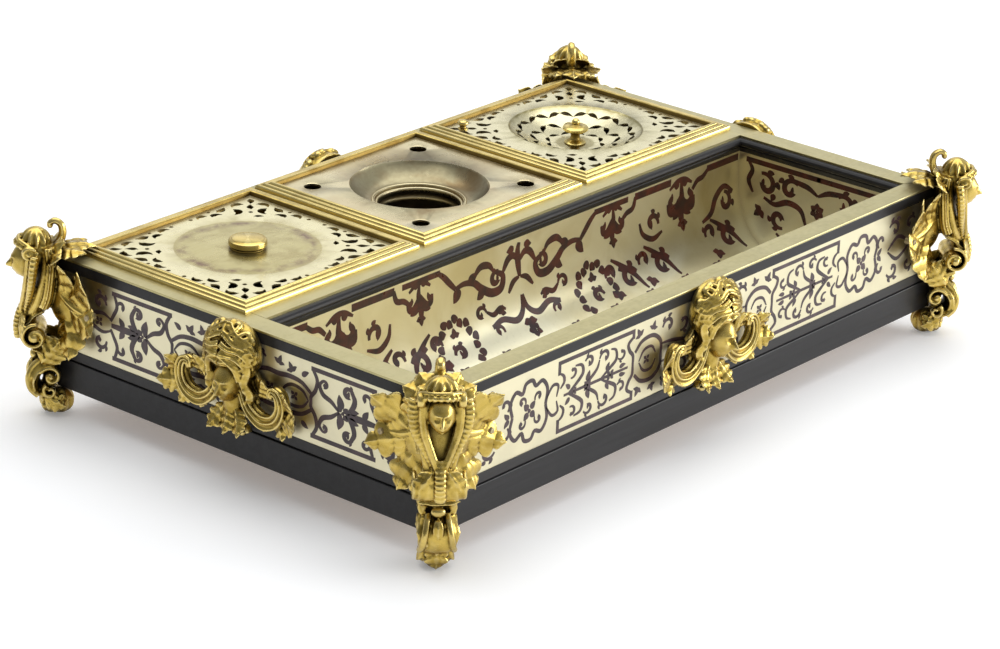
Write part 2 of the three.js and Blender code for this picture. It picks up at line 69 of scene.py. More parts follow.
def eased(points: Sequence[Sequence[float]], count: int) -> np.ndarray:
    """A smooth run through control points, evenly spaced along its length.

    Args:
        points: the control points, each of any number of coordinates.
        count: how many points to return.

    Returns:
        An array of count rows.
    """
    p = np.array(points, float)
    p = np.vstack([2 * p[0] - p[1], p, 2 * p[-1] - p[-2]])
    t = np.linspace(0, 1, 12, endpoint=False)[:, None]
    parts = []
    for a, b, c, d in zip(p[:-3], p[1:-2], p[2:-1], p[3:]):
        parts.append(
            0.5 * (2 * b + (c - a) * t + (2 * a - 5 * b + 4 * c - d) * t**2 + (3 * b - a - 3 * c + d) * t**3)
        )
    dense = np.vstack([*parts, p[-2][None]])
    run = np.concatenate([[0], np.cumsum(np.linalg.norm(np.diff(dense, axis=0), axis=1))])
    at = np.linspace(0, run[-1], count)
    return np.stack([np.interp(at, run, dense[:, i]) for i in range(dense.shape[1])], axis=1)


def volute(centre: Sequence[float], start: float, end: float, turn0: float, turn1: float, count: int = 26) -> np.ndarray:
    """A flat spiral.

    Args:
        centre: its middle.
        start: radius where it begins.
        end: radius where it ends.
        turn0: angle where it begins, in degrees.
        turn1: angle where it ends, in degrees.
        count: how many points to return.

    Returns:
        An array of count rows of two coordinates.
    """
    t = np.linspace(0, 1, count)
    angle = np.radians(turn0 + (turn1 - turn0) * t)
    radius = start + (end - start) * t**0.8
    return np.stack([centre[0] + radius * np.cos(angle), centre[1] + radius * np.sin(angle)], axis=1)


class Clay:
    """Closed shapes gathered in millimetres, that become one mesh."""

    def __init__(self) -> None:
        """Start with nothing."""
        self.points: list[np.ndarray] = []
        self.faces: list[tuple[int, ...]] = []
        self.count = 0

    def add(self, points: np.ndarray, faces: Iterable[Sequence[int]]) -> None:
        """Add one shape.

        Args:
            points: its corners, one row each.
            faces: its faces, as indices into those rows.
        """
        self.points.append(np.asarray(points, float).reshape(-1, 3))
        self.faces += [tuple(int(i) + self.count for i in face) for face in faces]
        self.count += len(self.points[-1])

    def loft(self, rings: np.ndarray, ring_shut: bool = False) -> None:
        """Skin a run of rings, with a flat cap at each end unless the run joins itself.

        Args:
            rings: array of rings by points by three.
            ring_shut: whether the last ring joins the first.
        """
        n, m = rings.shape[:2]
        faces: list[tuple[int, ...]] = []
        for i in range(n if ring_shut else n - 1):
            a, b = i * m, (i + 1) % n * m
            faces += [(a + j, a + (j + 1) % m, b + (j + 1) % m, b + j) for j in range(m)]
        if not ring_shut:
            faces += [tuple(range(m))[::-1], tuple(range((n - 1) * m, n * m))]
        self.add(rings.reshape(-1, 3), faces)

    def tube(
        self,
        path: np.ndarray,
        wide: np.ndarray | float,
        thick: np.ndarray | float,
        across: np.ndarray,
        sides: int = 12,
        reeds: int = 0,
        relief: float = 0.12,
    ) -> None:
        """A rounded strap along a path.

        Args:
            path: points by three.
            wide: half width along the across direction, one value or one for each point.
            thick: half thickness at right angles to it.
            across: the direction of the strap's width.
            sides: points in each ring.
            reeds: how many reeds run along the strap.
            relief: depth of the reeds, as a share of the size.
        """
        n = len(path)
        wide, thick = np.broadcast_to(wide, n)[:, None], np.broadcast_to(thick, n)[:, None]
        ahead = unit(np.gradient(path, axis=0))
        out = unit(np.cross(np.broadcast_to(across, (n, 3)), ahead))
        side = unit(np.cross(ahead, out))
        angle = np.linspace(0, 2 * np.pi, sides, endpoint=False)
        swell = 1 + relief * np.cos(reeds * angle) if reeds else np.ones(sides)
        x = (wide * np.cos(angle) * swell)[..., None] * side[:, None]
        y = (thick * np.sin(angle) * swell)[..., None] * out[:, None]
        self.loft(path[:, None] + x + y)

    def ball(self, centre: Sequence[float], radii: Sequence[float], flutes: int = 0, relief: float = 0.1) -> None:
        """An egg, fluted from pole to pole if asked.

        Args:
            centre: its middle.
            radii: its three half sizes.
            flutes: how many flutes go round it.
            relief: their depth, as a share of the size.
        """
        rise = np.linspace(-1.45, 1.45, 15)[:, None]
        angle = np.linspace(0, 2 * np.pi, max(20, 6 * flutes), endpoint=False)[None]
        swell = 1 + relief * (np.cos(flutes * angle) if flutes else 0 * angle) * np.cos(rise)
        ring = np.stack(
            [np.cos(rise) * np.cos(angle) * swell, np.cos(rise) * np.sin(angle) * swell, np.sin(rise) + 0 * angle],
            axis=-1,
        )
        self.loft(np.asarray(centre) + ring * np.asarray(radii, float))

    def turned(self, outline: Sequence[Sequence[float]], centre: Sequence[float], sides: int = 72) -> None:
        """A turned piece about an upright axis.

        Args:
            outline: radius and height pairs, from the axis round to the axis.
            centre: where height zero of the axis stands.
            sides: points round it.
        """
        angle = np.linspace(0, 2 * np.pi, sides, endpoint=False)
        rings = [
            np.stack([r * np.cos(angle), r * np.sin(angle), np.full(sides, z)], axis=1)
            for r, z in ((max(r, 0.02), z) for r, z in outline)
        ]
        self.loft(np.array(rings) + np.asarray(centre, float))

    def mitred(self, profile: Sequence[Sequence[float]], centre: Sequence[float], half: Sequence[float]) -> None:
        """A rectangular ring of moulding with mitred corners.

        Args:
            profile: depth in from the outer edge, and height, round the closed outline.
            centre: middle of the ring.
            half: half length and half depth of its outer edge.
        """
        outline = np.array(profile, float)
        rings = [
            np.stack([sx * (half[0] - outline[:, 0]), sy * (half[1] - outline[:, 0]), outline[:, 1]], axis=1)
            for sx, sy in ((-1, -1), (1, -1), (1, 1), (-1, 1))
        ]
        self.loft(np.array(rings) + np.asarray(centre, float), ring_shut=True)

    def leaf(
        self,
        root: Sequence[float],
        along: Sequence[float],
        face: Sequence[float],
        length: float,
        width: float,
        curl: float = 0.5,
        lobes: int = 4,
        notch: float = 0.45,
        thick: float = 1.5,
        bend: float = 0.0,
    ) -> None:
        """A carved leaf with swept lobes, a midrib and veins.

        Args:
            root: where it grows from.
            along: which way it sets off.
            face: which way its upper side looks.
            length: from root to tip.
            width: across the widest lobes.
            curl: how far the tip turns up, in radians.
            lobes: lobes on each side.
            notch: how deep the cuts between lobes are.
            thick: thickness at the midrib.
            bend: how far the leaf swings sideways, in radians.
        """
        along_v = unit(vec(*along))
        side = unit(np.cross(vec(*face), along_v))
        face_v = np.cross(along_v, side)
        n, m = 12 * lobes + 6, 13
        t = np.linspace(0, 1, n)
        swing, lift = (bend * t)[:, None], (curl * t**1.6)[:, None]
        level = np.cos(swing) * along_v + np.sin(swing) * side
        heading = np.cos(lift) * level + np.sin(lift) * face_v
        beside = -np.sin(swing) * along_v + np.cos(swing) * side
        normal = np.cross(heading, beside)
        spine = vec(*root) + np.cumsum(heading, axis=0) * length / n
        envelope = (0.3 * (1 - t) + np.sin(np.pi * np.clip(t, 0, 1) ** 0.8) ** 0.75) * (1 - t**8)
        tooth = np.abs(np.sin(np.pi * np.clip(t * lobes - 0.12, 0, lobes))) ** 0.55
        half = 0.5 * width * envelope * (1 - notch * (1 - tooth))
        a = np.linspace(-1, 1, m)
        reach = np.abs(a)
        body = thick * (1 - 0.55 * reach[None]) * (1 - 0.35 * t[:, None])
        relief = 0.3 * body * np.exp(-((a[None] / 0.16) ** 2))
        relief = relief - 0.2 * thick * reach[None] ** 1.5 * (1 - tooth[:, None])
        relief = relief + 0.07 * thick * np.cos(2 * np.pi * (2.6 * reach[None] - 0.3 * t[:, None] * lobes))
        rise = 0.16 * half[:, None] * (1 - a[None] ** 2) + relief
        base = (
            spine[:, None]
            + (half[:, None] * a[None])[..., None] * beside[:, None]
            + (0.3 * half[:, None] * reach[None] ** 1.5)[..., None] * heading[:, None]
        )
        top = base + (rise + 0.5 * body)[..., None] * normal[:, None]
        low = base + (0.16 * half[:, None] * (1 - a[None] ** 2) - 0.5 * body)[..., None] * normal[:, None]
        self.loft(np.concatenate([top, low[:, ::-1]], axis=1))

    def merge(self, other: "Clay", move: Callable[[np.ndarray], np.ndarray]) -> None:
        """Add another lot of shapes, moved.

        Args:
            other: the shapes.
            move: takes their points and returns them in place.
        """
        self.add(move(np.vstack(other.points)), other.faces)

    def mesh(self, name: str, scale: float = MM, crease: float = 38.0) -> bpy.types.Mesh:
        """The mesh of every shape, smooth-shaded but for its sharp edges.

        Args:
            name: name of the mesh.
            scale: what one millimetre becomes.
            crease: angle over which an edge is sharp, in degrees.

        Returns:
            A new mesh with its faces turned outwards.
        """
        mesh = bpy.data.meshes.new(name)
        mesh.from_pydata((np.vstack(self.points) * scale).tolist(), [], self.faces)
        tidy = bmesh.new()
        tidy.from_mesh(mesh)
        bmesh.ops.recalc_face_normals(tidy, faces=tidy.faces)
        tidy.to_mesh(mesh)
        tidy.free()
        mesh.shade_smooth()
        mesh.set_sharp_from_angle(angle=math.radians(crease))
        return mesh

    def fused(self, name: str, voxel: float, keep: float, soften: int = 2) -> bpy.types.Mesh:
        """One skin over all the shapes, as if they were cast together.

        Args:
            name: name of the mesh.
            voxel: size of the smallest detail.
            keep: share of the faces to keep.
            soften: how many times the skin is eased.

        Returns:
            A new smooth mesh, in metres.
        """
        lump = bpy.data.objects.new(name + "_lump", self.mesh(name + "_lump", scale=1.0))
        bpy.context.scene.collection.objects.link(lump)
        remesh = lump.modifiers.new("remesh", "REMESH")
        remesh.mode, remesh.voxel_size = "VOXEL", voxel
        ease = lump.modifiers.new("ease", "SMOOTH")
        ease.factor, ease.iterations = 0.5, soften
        thin = lump.modifiers.new("thin", "DECIMATE")
        thin.ratio = keep
        ready = lump.evaluated_get(bpy.context.evaluated_depsgraph_get())
        mesh = bpy.data.meshes.new_from_object(ready)
        mesh.name = name
        mesh.transform(Matrix.Scale(MM, 4))
        mesh.shade_smooth()
        spare = lump.data
        bpy.data.objects.remove(lump)
        bpy.data.meshes.remove(spare)
        return mesh


def piece(
    name: str,
    mesh: bpy.types.Mesh,
    finish: bpy.types.Material,
    body: str,
    stands_for: Sequence[str] = (),
) -> bpy.types.Object:
    """Put a finished mesh on the object.

    Args:
        name: name of the piece.
        mesh: its shape, in metres, in place.
        finish: its material.
        body: the moving body it rides on.
        stands_for: the CAD nodes it takes the place of.

    Returns:
        The new object.
    """
    made = bpy.data.objects.new(name, mesh)
    bpy.context.scene.collection.objects.link(made)
    mesh.materials.clear()
    mesh.materials.append(finish)
    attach(made, body)
    if stands_for:
        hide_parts(*stands_for)
    LOG.info("%s: %d faces", name, len(mesh.polygons))
    return made


class Sheet:
    """A node sheet that is wired by name."""

    def __init__(self, tree: bpy.types.NodeTree) -> None:
        """Take the node tree to work on."""
        self.tree = tree

    def feed(self, socket: bpy.types.NodeSocket, value: object) -> None:
        """Wire a socket to another, or give it a plain value."""
        if isinstance(value, bpy.types.NodeSocket):
            self.tree.links.new(value, socket)
        else:
            socket.default_value = value

    def add(self, kind: str, inputs: dict[str | int, object] | None = None, **settings: object) -> bpy.types.Node:
        """Place a node.

        Args:
            kind: the node's type name.
            inputs: what goes into its sockets.
            settings: its own settings.

        Returns:
            The node.
        """
        node = self.tree.nodes.new(kind)
        for name, value in settings.items():
            setattr(node, name, value)
        for key, value in (inputs or {}).items():
            self.feed(node.inputs[key], value)
        return node

    def sum(self, operation: str, first: object, second: object = 0.0, clamp: bool = False) -> bpy.types.NodeSocket:
        """The result of a Math node."""
        return self.add("ShaderNodeMath", {0: first, 1: second}, operation=operation, use_clamp=clamp).outputs[0]

    def noise(self, scale: float, detail: float = 4.0, rough: float = 0.55, where: object = None) -> bpy.types.NodeSocket:
        """Noise over the object.

        Args:
            scale: how fine it is, per metre.
            detail: how many octaves.
            rough: how strong the finer octaves are.
            where: coordinates, or the object's own.

        Returns:
            Its value socket.
        """
        spot = where or self.add("ShaderNodeTexCoord").outputs["Object"]
        made = self.add("ShaderNodeTexNoise", {"Vector": spot, "Scale": scale, "Detail": detail, "Roughness": rough})
        return made.outputs["Fac"]

    def spread(self, value: object, low: float, high: float, to_low: float = 0.0, to_high: float = 1.0) -> bpy.types.NodeSocket:
        """A value stretched from one range to another, and kept inside it.

        Args:
            value: the value.
            low: what becomes to_low.
            high: what becomes to_high.
            to_low: result at low.
            to_high: result at high.

        Returns:
            The result socket.
        """
        made = self.add("ShaderNodeMapRange", {0: value, 1: low, 2: high, 3: to_low, 4: to_high}, clamp=True)
        return made.outputs[0]

    def blend(self, share: object, first: object, second: object, how: str = "MIX") -> bpy.types.NodeSocket:
        """Two colours mixed.

        Args:
            share: how much of the second.
            first: the first colour.
            second: the second colour.
            how: the blend type.

        Returns:
            The colour socket.
        """
        made = self.add("ShaderNodeMix", data_type="RGBA", blend_type=how)
        for socket, value in ((made.inputs[0], share), (made.inputs[6], first), (made.inputs[7], second)):
            self.feed(socket, (*value, 1.0) if isinstance(value, tuple) else value)
        return made.outputs[2]


class Effect(Enum):
    """The shared effects, each a node group."""

    # rubbed edges, and painted shade in hollows and occluded places
    WEAR_AND_SHADE = "edge_wear_and_hollow_shade"
    SCRATCH = "fine_scratches"
    MOTTLE = "mottling"
    GRAIN = "wood_grain"


class Workshop:
    """Makes each shared effect once and places it in materials."""

    def __init__(self) -> None:
        """Start with no effect made."""
        self.made: dict[Effect, bpy.types.NodeTree] = {}

    def start(self, effect: Effect, inputs: dict[str, float], outputs: Sequence[str]) -> tuple[Sheet, bpy.types.Node, bpy.types.Node]:
        """Open a new group.

        Args:
            effect: which effect.
            inputs: its input names and usual values.
            outputs: its output names.

        Returns:
            Its sheet, its input node and its output node.
        """
        tree = bpy.data.node_groups.new(effect.value, "ShaderNodeTree")
        for name, usual in inputs.items():
            tree.interface.new_socket(name=name, in_out="INPUT", socket_type="NodeSocketFloat").default_value = usual
        for name in outputs:
            tree.interface.new_socket(name=name, in_out="OUTPUT", socket_type="NodeSocketFloat")
        self.made[effect] = tree
        sheet = Sheet(tree)
        return sheet, sheet.add("NodeGroupInput"), sheet.add("NodeGroupOutput")

    def wear_and_shade(self) -> None:
        """Rubbed edges from the curve of the surface, and painted shade in the hollows, from the curve and from ambient
        occlusion.
        """
        sheet, given, result = self.start(Effect.WEAR_AND_SHADE, {"Reach": 0.06}, ["Edge", "HollowShade"])
        point = sheet.add("ShaderNodeNewGeometry").outputs["Pointiness"]
        patch = sheet.sum("MULTIPLY", sheet.sum("SUBTRACT", sheet.noise(420.0), 0.5), 0.03)
        bent = sheet.sum("ADD", point, patch)
        above = sheet.sum("DIVIDE", sheet.sum("SUBTRACT", bent, 0.505), given.outputs["Reach"], clamp=True)
        below = sheet.sum("DIVIDE", sheet.sum("SUBTRACT", 0.495, bent), given.outputs["Reach"], clamp=True)
        # ambient occlusion, used to paint shade into the colour of hollows
        occlusion_shade = sheet.add("ShaderNodeAmbientOcclusion", {"Distance": 0.006}, samples=6).outputs["AO"]
        sheet.feed(result.inputs["Edge"], above)
        # painted shade: this mask marks concave and occluded places, which the metals darken
        sheet.feed(result.inputs["HollowShade"], sheet.sum("MAXIMUM", below, sheet.spread(occlusion_shade, 0.8, 0.3)))

    def scratch(self) -> None:
        """Hairline scratches in two crossing directions, and the faint cloud of rubbing between them."""
        sheet, given, result = self.start(Effect.SCRATCH, {"Fineness": 900.0, "Amount": 0.5}, ["Line", "Cloud"])
        spot = sheet.add("ShaderNodeTexCoord").outputs["Object"]
        lines = None
        for turn in (0.5, 2.3, 1.4):
            way = sheet.add("ShaderNodeMapping", {"Vector": spot, "Rotation": (0.0, 0.0, turn), "Scale": (0.05, 1.0, 1.0)})
            made = sheet.add("ShaderNodeTexNoise", {"Vector": way.outputs[0], "Detail": 2.0})
            sheet.feed(made.inputs["Scale"], given.outputs["Fineness"])
            line = sheet.spread(made.outputs["Fac"], 0.62, 0.72)
            lines = line if lines is None else sheet.sum("MAXIMUM", lines, line)
        sheet.feed(result.inputs["Line"], sheet.sum("MULTIPLY", lines, given.outputs["Amount"]))
        sheet.feed(result.inputs["Cloud"], sheet.noise(60.0, 5.0, 0.6))

    def mottle(self) -> None:
        """Uneven clouding at a chosen size."""
        sheet, given, result = self.start(Effect.MOTTLE, {"Fineness": 120.0, "Contrast": 1.0}, ["Value"])
        spot = sheet.add("ShaderNodeTexCoord").outputs["Object"]
        made = sheet.add("ShaderNodeTexNoise", {"Vector": spot, "Detail": 5.0, "Distortion": 0.6})
        sheet.feed(made.inputs["Scale"], given.outputs["Fineness"])
        offset = sheet.sum("MULTIPLY", sheet.sum("SUBTRACT", made.outputs["Fac"], 0.5), given.outputs["Contrast"])
        sheet.feed(result.inputs["Value"], sheet.sum("ADD", sheet.sum("MULTIPLY", offset, 2.2), 0.5, clamp=True))

    def grain(self) -> None:
        """Pores and figure that run along the length of the case."""
        sheet, given, result = self.start(Effect.GRAIN, {"Fineness": 260.0}, ["Figure", "Pore"])
        spot = sheet.add("ShaderNodeTexCoord").outputs["Object"]
        way = sheet.add("ShaderNodeMapping", {"Vector": spot, "Scale": (0.05, 1.0, 1.0), "Rotation": (0.0, 0.0, 0.03)})
        figure = sheet.add("ShaderNodeTexNoise", {"Vector": way.outputs[0], "Detail": 6.0, "Distortion": 0.8})
        sheet.feed(figure.inputs["Scale"], given.outputs["Fineness"])
        pore = sheet.add("ShaderNodeTexNoise", {"Vector": way.outputs[0], "Detail": 2.0})
        sheet.feed(pore.inputs["Scale"], sheet.sum("MULTIPLY", given.outputs["Fineness"], 5.0))
        sheet.feed(result.inputs["Figure"], figure.outputs["Fac"])
        sheet.feed(result.inputs["Pore"], sheet.spread(pore.outputs["Fac"], 0.6, 0.7))

    def place(self, sheet: Sheet, effect: Effect, **values: float) -> bpy.types.Node:
        """Put an effect in a material.

        Args:
            sheet: the material's sheet.
            effect: which effect.
            values: what its inputs are set to.

        Returns:
            The group node.
        """
        if effect not in self.made:
            {
                Effect.WEAR_AND_SHADE: self.wear_and_shade,
                Effect.SCRATCH: self.scratch,
                Effect.MOTTLE: self.mottle,
                Effect.GRAIN: self.grain,
            }[effect]()
        node = sheet.add("ShaderNodeGroup", node_tree=self.made[effect])
        for name, value in values.items():
            node.inputs[name].default_value = value
        return node


def blank(name: str) -> tuple[bpy.types.Material, Sheet, bpy.types.Node]:
    """A new material with only its shader.

    Args:
        name: the material's name.

    Returns:
        The material, its sheet and its Principled shader.
    """
    made = bpy.data.materials.new(name)
    made.use_nodes = True
    sheet = Sheet(made.node_tree)
    return made, sheet, made.node_tree.nodes["Principled BSDF"]


def bumped(sheet: Sheet, shader: bpy.types.Node, height: bpy.types.NodeSocket, strength: float, depth: float) -> None:
    """Feed a shader's normal from a height.

    Args:
        sheet: the material's sheet.
        shader: its shader.
        height: the height.
        strength: how strongly it shows.
        depth: how deep it is, in metres.
    """
    bump = sheet.add("ShaderNodeBump", {"Height": height, "Strength": strength, "Distance": depth})
    sheet.feed(shader.inputs["Normal"], bump.outputs["Normal"])


@dataclass(frozen=True)
class Metal:
    """A worn metal: its own colour, a duller one in clouds, a dark one painted as shade in hollows and a bright one on
    rubbed edges.
    """

    name: str
    colour: Colour
    dull: Colour
    # colour of the painted shade in hollows and occluded places
    hollow_shade: Colour
    bright: Colour
    smooth: float = 0.2
    rough: float = 0.38
    cloud: float = 90.0
    # how strongly the painted shade darkens the hollows
    depth: float = 0.9
    scratches: float = 0.4
    reach: float = 0.05
    relief: float = 0.25
    grainy: float = 900.0
    ring: tuple[float, float, float, float] | None = None
    ring_tint: Colour = (0.2, 0.12, 0.07)

    def ring_mask(self, sheet: Sheet) -> bpy.types.NodeSocket:
        """Where the metal is stained in a broken ring round a middle.

        Args:
            sheet: the material's sheet.

        Returns:
            The mask.
        """
        x, y, radius, width = self.ring
        spot = sheet.add("ShaderNodeTexCoord").outputs["Object"]
        level = sheet.add("ShaderNodeVectorMath", {0: spot, 1: (1.0, 1.0, 0.0)}, operation="MULTIPLY").outputs[0]
        away = sheet.add("ShaderNodeVectorMath", {0: level, 1: (x * MM, y * MM, 0.0)}, operation="DISTANCE")
        off = sheet.sum("ABSOLUTE", sheet.sum("SUBTRACT", away.outputs["Value"], radius * MM))
        near = sheet.spread(off, 0.0, width * MM, 1.0, 0.0)
        return sheet.sum("MULTIPLY", near, sheet.spread(sheet.noise(75.0, 4.0, 0.7), 0.42, 0.62), clamp=True)

    def make(self, workshop: Workshop) -> bpy.types.Material:
        """The material.

        Args:
            workshop: where the shared effects are made.

        Returns:
            A new material.
        """
        made, sheet, shader = blank(self.name)
        wear_and_shade = workshop.place(sheet, Effect.WEAR_AND_SHADE, Reach=self.reach)
        scratch = workshop.place(sheet, Effect.SCRATCH, Fineness=self.grainy, Amount=self.scratches)
        mottle = workshop.place(sheet, Effect.MOTTLE, Fineness=self.cloud, Contrast=1.2)
        tint = sheet.blend(sheet.spread(mottle.outputs["Value"], 0.35, 0.85), self.colour, self.dull)
        # painted shade: hollows and occluded places darkened towards the hollow colour
        tint = sheet.blend(sheet.sum("MULTIPLY", wear_and_shade.outputs["HollowShade"], self.depth), tint, self.hollow_shade)
        tint = sheet.blend(sheet.sum("MULTIPLY", wear_and_shade.outputs["Edge"], 0.55), tint, self.bright)
        if self.ring:
            tint = sheet.blend(self.ring_mask(sheet), tint, self.ring_tint)
        sheet.feed(shader.inputs["Base Color"], tint)
        shader.inputs["Metallic"].default_value = 1.0
        span = self.rough - self.smooth
        rough = sheet.sum("ADD", sheet.sum("MULTIPLY", scratch.outputs["Cloud"], span), self.smooth)
        rough = sheet.sum("ADD", rough, sheet.sum("MULTIPLY", wear_and_shade.outputs["HollowShade"], 0.25))
        rough = sheet.sum("ADD", rough, sheet.sum("MULTIPLY", scratch.outputs["Line"], 0.12), clamp=True)
        sheet.feed(shader.inputs["Roughness"], rough)
        height = sheet.sum("SUBTRACT", sheet.noise(1400.0, 3.0), scratch.outputs["Line"])
        bumped(sheet, shader, height, self.relief, 0.00006)
        return made


@dataclass(frozen=True)
class ShellInlay:
    """Polished shell over a coloured ground, clouded with darker patches."""

    name: str
    light: Colour
    dark: Colour
    rough: float = 0.24
    cloud: float = 160.0

    def make(self, workshop: Workshop) -> bpy.types.Material:
        """The material.

        Args:
            workshop: where the shared effects are made.

        Returns:
            A new material.
        """
        made, sheet, shader = blank(self.name)
        patch = workshop.place(sheet, Effect.MOTTLE, Fineness=self.cloud, Contrast=1.5)
        speck = workshop.place(sheet, Effect.MOTTLE, Fineness=1200.0, Contrast=0.9)
        scratch = workshop.place(sheet, Effect.SCRATCH, Fineness=1100.0, Amount=0.4)
        tint = sheet.blend(patch.outputs["Value"], self.light, self.dark)
        tint = sheet.blend(sheet.sum("MULTIPLY", speck.outputs["Value"], 0.35), tint, self.dark)
        sheet.feed(shader.inputs["Base Color"], tint)
        rough = sheet.sum("ADD", sheet.sum("MULTIPLY", scratch.outputs["Cloud"], 0.2), self.rough)
        sheet.feed(shader.inputs["Roughness"], rough)
        bumped(sheet, shader, sheet.sum("SUBTRACT", speck.outputs["Value"], scratch.outputs["Line"]), 0.12, 0.00005)
        return made


@dataclass(frozen=True)
class Polished:
    """A polished or bare timber with grain, worn along its edges."""

    name: str
    light: Colour
    dark: Colour
    worn: Colour
    rough: float
    coat: float
    grain: float = 260.0
    shine: float = 0.26

    def make(self, workshop: Workshop) -> bpy.types.Material:
        """The material.

        Args:
            workshop: where the shared effects are made.

        Returns:
            A new material.
        """
        made, sheet, shader = blank(self.name)
        grain = workshop.place(sheet, Effect.GRAIN, Fineness=self.grain)
        wear_and_shade = workshop.place(sheet, Effect.WEAR_AND_SHADE, Reach=0.12)
        scratch = workshop.place(sheet, Effect.SCRATCH, Fineness=500.0, Amount=0.6)
        tint = sheet.blend(sheet.spread(grain.outputs["Figure"], 0.35, 0.65), self.light, self.dark)
        tint = sheet.blend(sheet.sum("MULTIPLY", grain.outputs["Pore"], 0.5), tint, self.dark)
        tint = sheet.blend(sheet.sum("MULTIPLY", wear_and_shade.outputs["Edge"], 0.4), tint, self.worn)
        sheet.feed(shader.inputs["Base Color"], tint)
        rough = sheet.sum("ADD", sheet.sum("MULTIPLY", scratch.outputs["Cloud"], 0.14), self.rough - 0.07)
        sheet.feed(shader.inputs["Roughness"], sheet.sum("ADD", rough, sheet.sum("MULTIPLY", scratch.outputs["Line"], 0.15)))
        shader.inputs["Specular IOR Level"].default_value = self.shine
        shader.inputs["Coat Weight"].default_value = self.coat
        shader.inputs["Coat Roughness"].default_value = 0.16
        height = sheet.sum("SUBTRACT", grain.outputs["Figure"], sheet.sum("MULTIPLY", grain.outputs["Pore"], 0.5))
        bumped(sheet, shader, height, 0.12, 0.0001)
        return made


@dataclass
class Finishes:
    """Every finish of the inkstand, made once."""

    workshop: Workshop = field(default_factory=Workshop)

    def __post_init__(self) -> None:
        """Make them all."""
        shop = self.workshop
        # the fourth colour of each metal is the painted shade in its hollows; the gilt's is nearly black
        self.gilt = Metal(
            "gilt_bronze", (0.60, 0.43, 0.10), (0.38, 0.26, 0.05), (0.03, 0.015, 0.003), (0.92, 0.76, 0.34),
            smooth=0.16, rough=0.36, depth=0.97, scratches=0.1, reach=0.045, relief=0.3,
        ).make(shop)
        self.rim = Metal(
            "rim_brass", (0.25, 0.215, 0.09), (0.19, 0.16, 0.058), (0.08, 0.06, 0.02), (0.72, 0.64, 0.34),
            smooth=0.26, rough=0.46, scratches=0.8, relief=0.3,
        ).make(shop)
        self.reeded = Metal(
            "reeded_brass", (0.66, 0.50, 0.15), (0.45, 0.32, 0.08), (0.10, 0.05, 0.01), (0.86, 0.70, 0.28),
            smooth=0.14, rough=0.3, scratches=0.2, reach=0.06, depth=0.75,
        ).make(shop)
        self.plate = Metal(
            "plate_brass", (0.36, 0.312, 0.142), (0.265, 0.222, 0.09), (0.20, 0.14, 0.05), (0.95, 0.88, 0.60),
            smooth=0.18, rough=0.34, scratches=0.7, relief=0.3,
        ).make(shop)
        self.cover = Metal(
            "cover_brass", (0.52, 0.45, 0.205), (0.41, 0.34, 0.14), (0.20, 0.14, 0.05), (0.95, 0.88, 0.60),
            smooth=0.2, rough=0.36, scratches=0.8, relief=0.3, ring=(-119.2, 58.75, 30.5, 4.5),
        ).make(shop)
        self.bowl = Metal(
            "worn_bowl_brass", (0.34, 0.30, 0.18), (0.25, 0.18, 0.09), (0.10, 0.06, 0.02), (0.9, 0.78, 0.48),
            smooth=0.16, rough=0.4, cloud=45.0, scratches=0.5,
        ).make(shop)
        self.ground = Metal(
            "marquetry_brass", (0.49, 0.42, 0.195), (0.40, 0.335, 0.14), (0.3, 0.22, 0.1), (0.95, 0.9, 0.7),
            smooth=0.28, rough=0.46, scratches=0.5, cloud=50.0, relief=0.14,
        ).make(shop)
        self.tray_ground = Metal(
            "tray_brass", (0.95, 0.89, 0.64), (0.80, 0.71, 0.43), (0.3, 0.22, 0.1), (0.95, 0.9, 0.7),
            smooth=0.3, rough=0.44, scratches=0.2, cloud=24.0, relief=0.02,
        ).make(shop)
        self.pot = Metal(
            "pot_metal", (0.30, 0.24, 0.15), (0.16, 0.11, 0.06), (0.04, 0.03, 0.02), (0.6, 0.5, 0.3),
            smooth=0.4, rough=0.6, cloud=60.0, scratches=0.8,
        ).make(shop)
        self.shell = ShellInlay("brown_shell", (0.085, 0.047, 0.05), (0.035, 0.02, 0.022)).make(shop)
        self.red_shell = ShellInlay("red_shell", (0.13, 0.026, 0.014), (0.035, 0.012, 0.010), rough=0.2).make(shop)
        self.ebony = Polished(
            "ebony", (0.010, 0.010, 0.012), (0.003, 0.003, 0.004), (0.06, 0.055, 0.05), rough=0.36, coat=0.06,
        ).make(shop)
        self.oak = Polished(
            "oak", (0.30, 0.17, 0.075), (0.16, 0.085, 0.035), (0.4, 0.26, 0.13), rough=0.62, coat=0.0, grain=120.0,
        ).make(shop)


@dataclass
class CaseSizes:
    """Sizes of the case, shared by the parts that fit it."""

    half_length: float = 185.0
    half_depth: float = 116.0
    rim: float = 78.0
    panel_sunk: float = 0.3
    panel_top: float = 6.4
    panel_foot: float = 44.6
    rim_width: float = 11.5
    tray_front: float = -104.5
    tray_back: float = -4.5
    tray_floor: float = 20.0
    bead_foot: float = 69.8
    cove_reach: float = 30.0


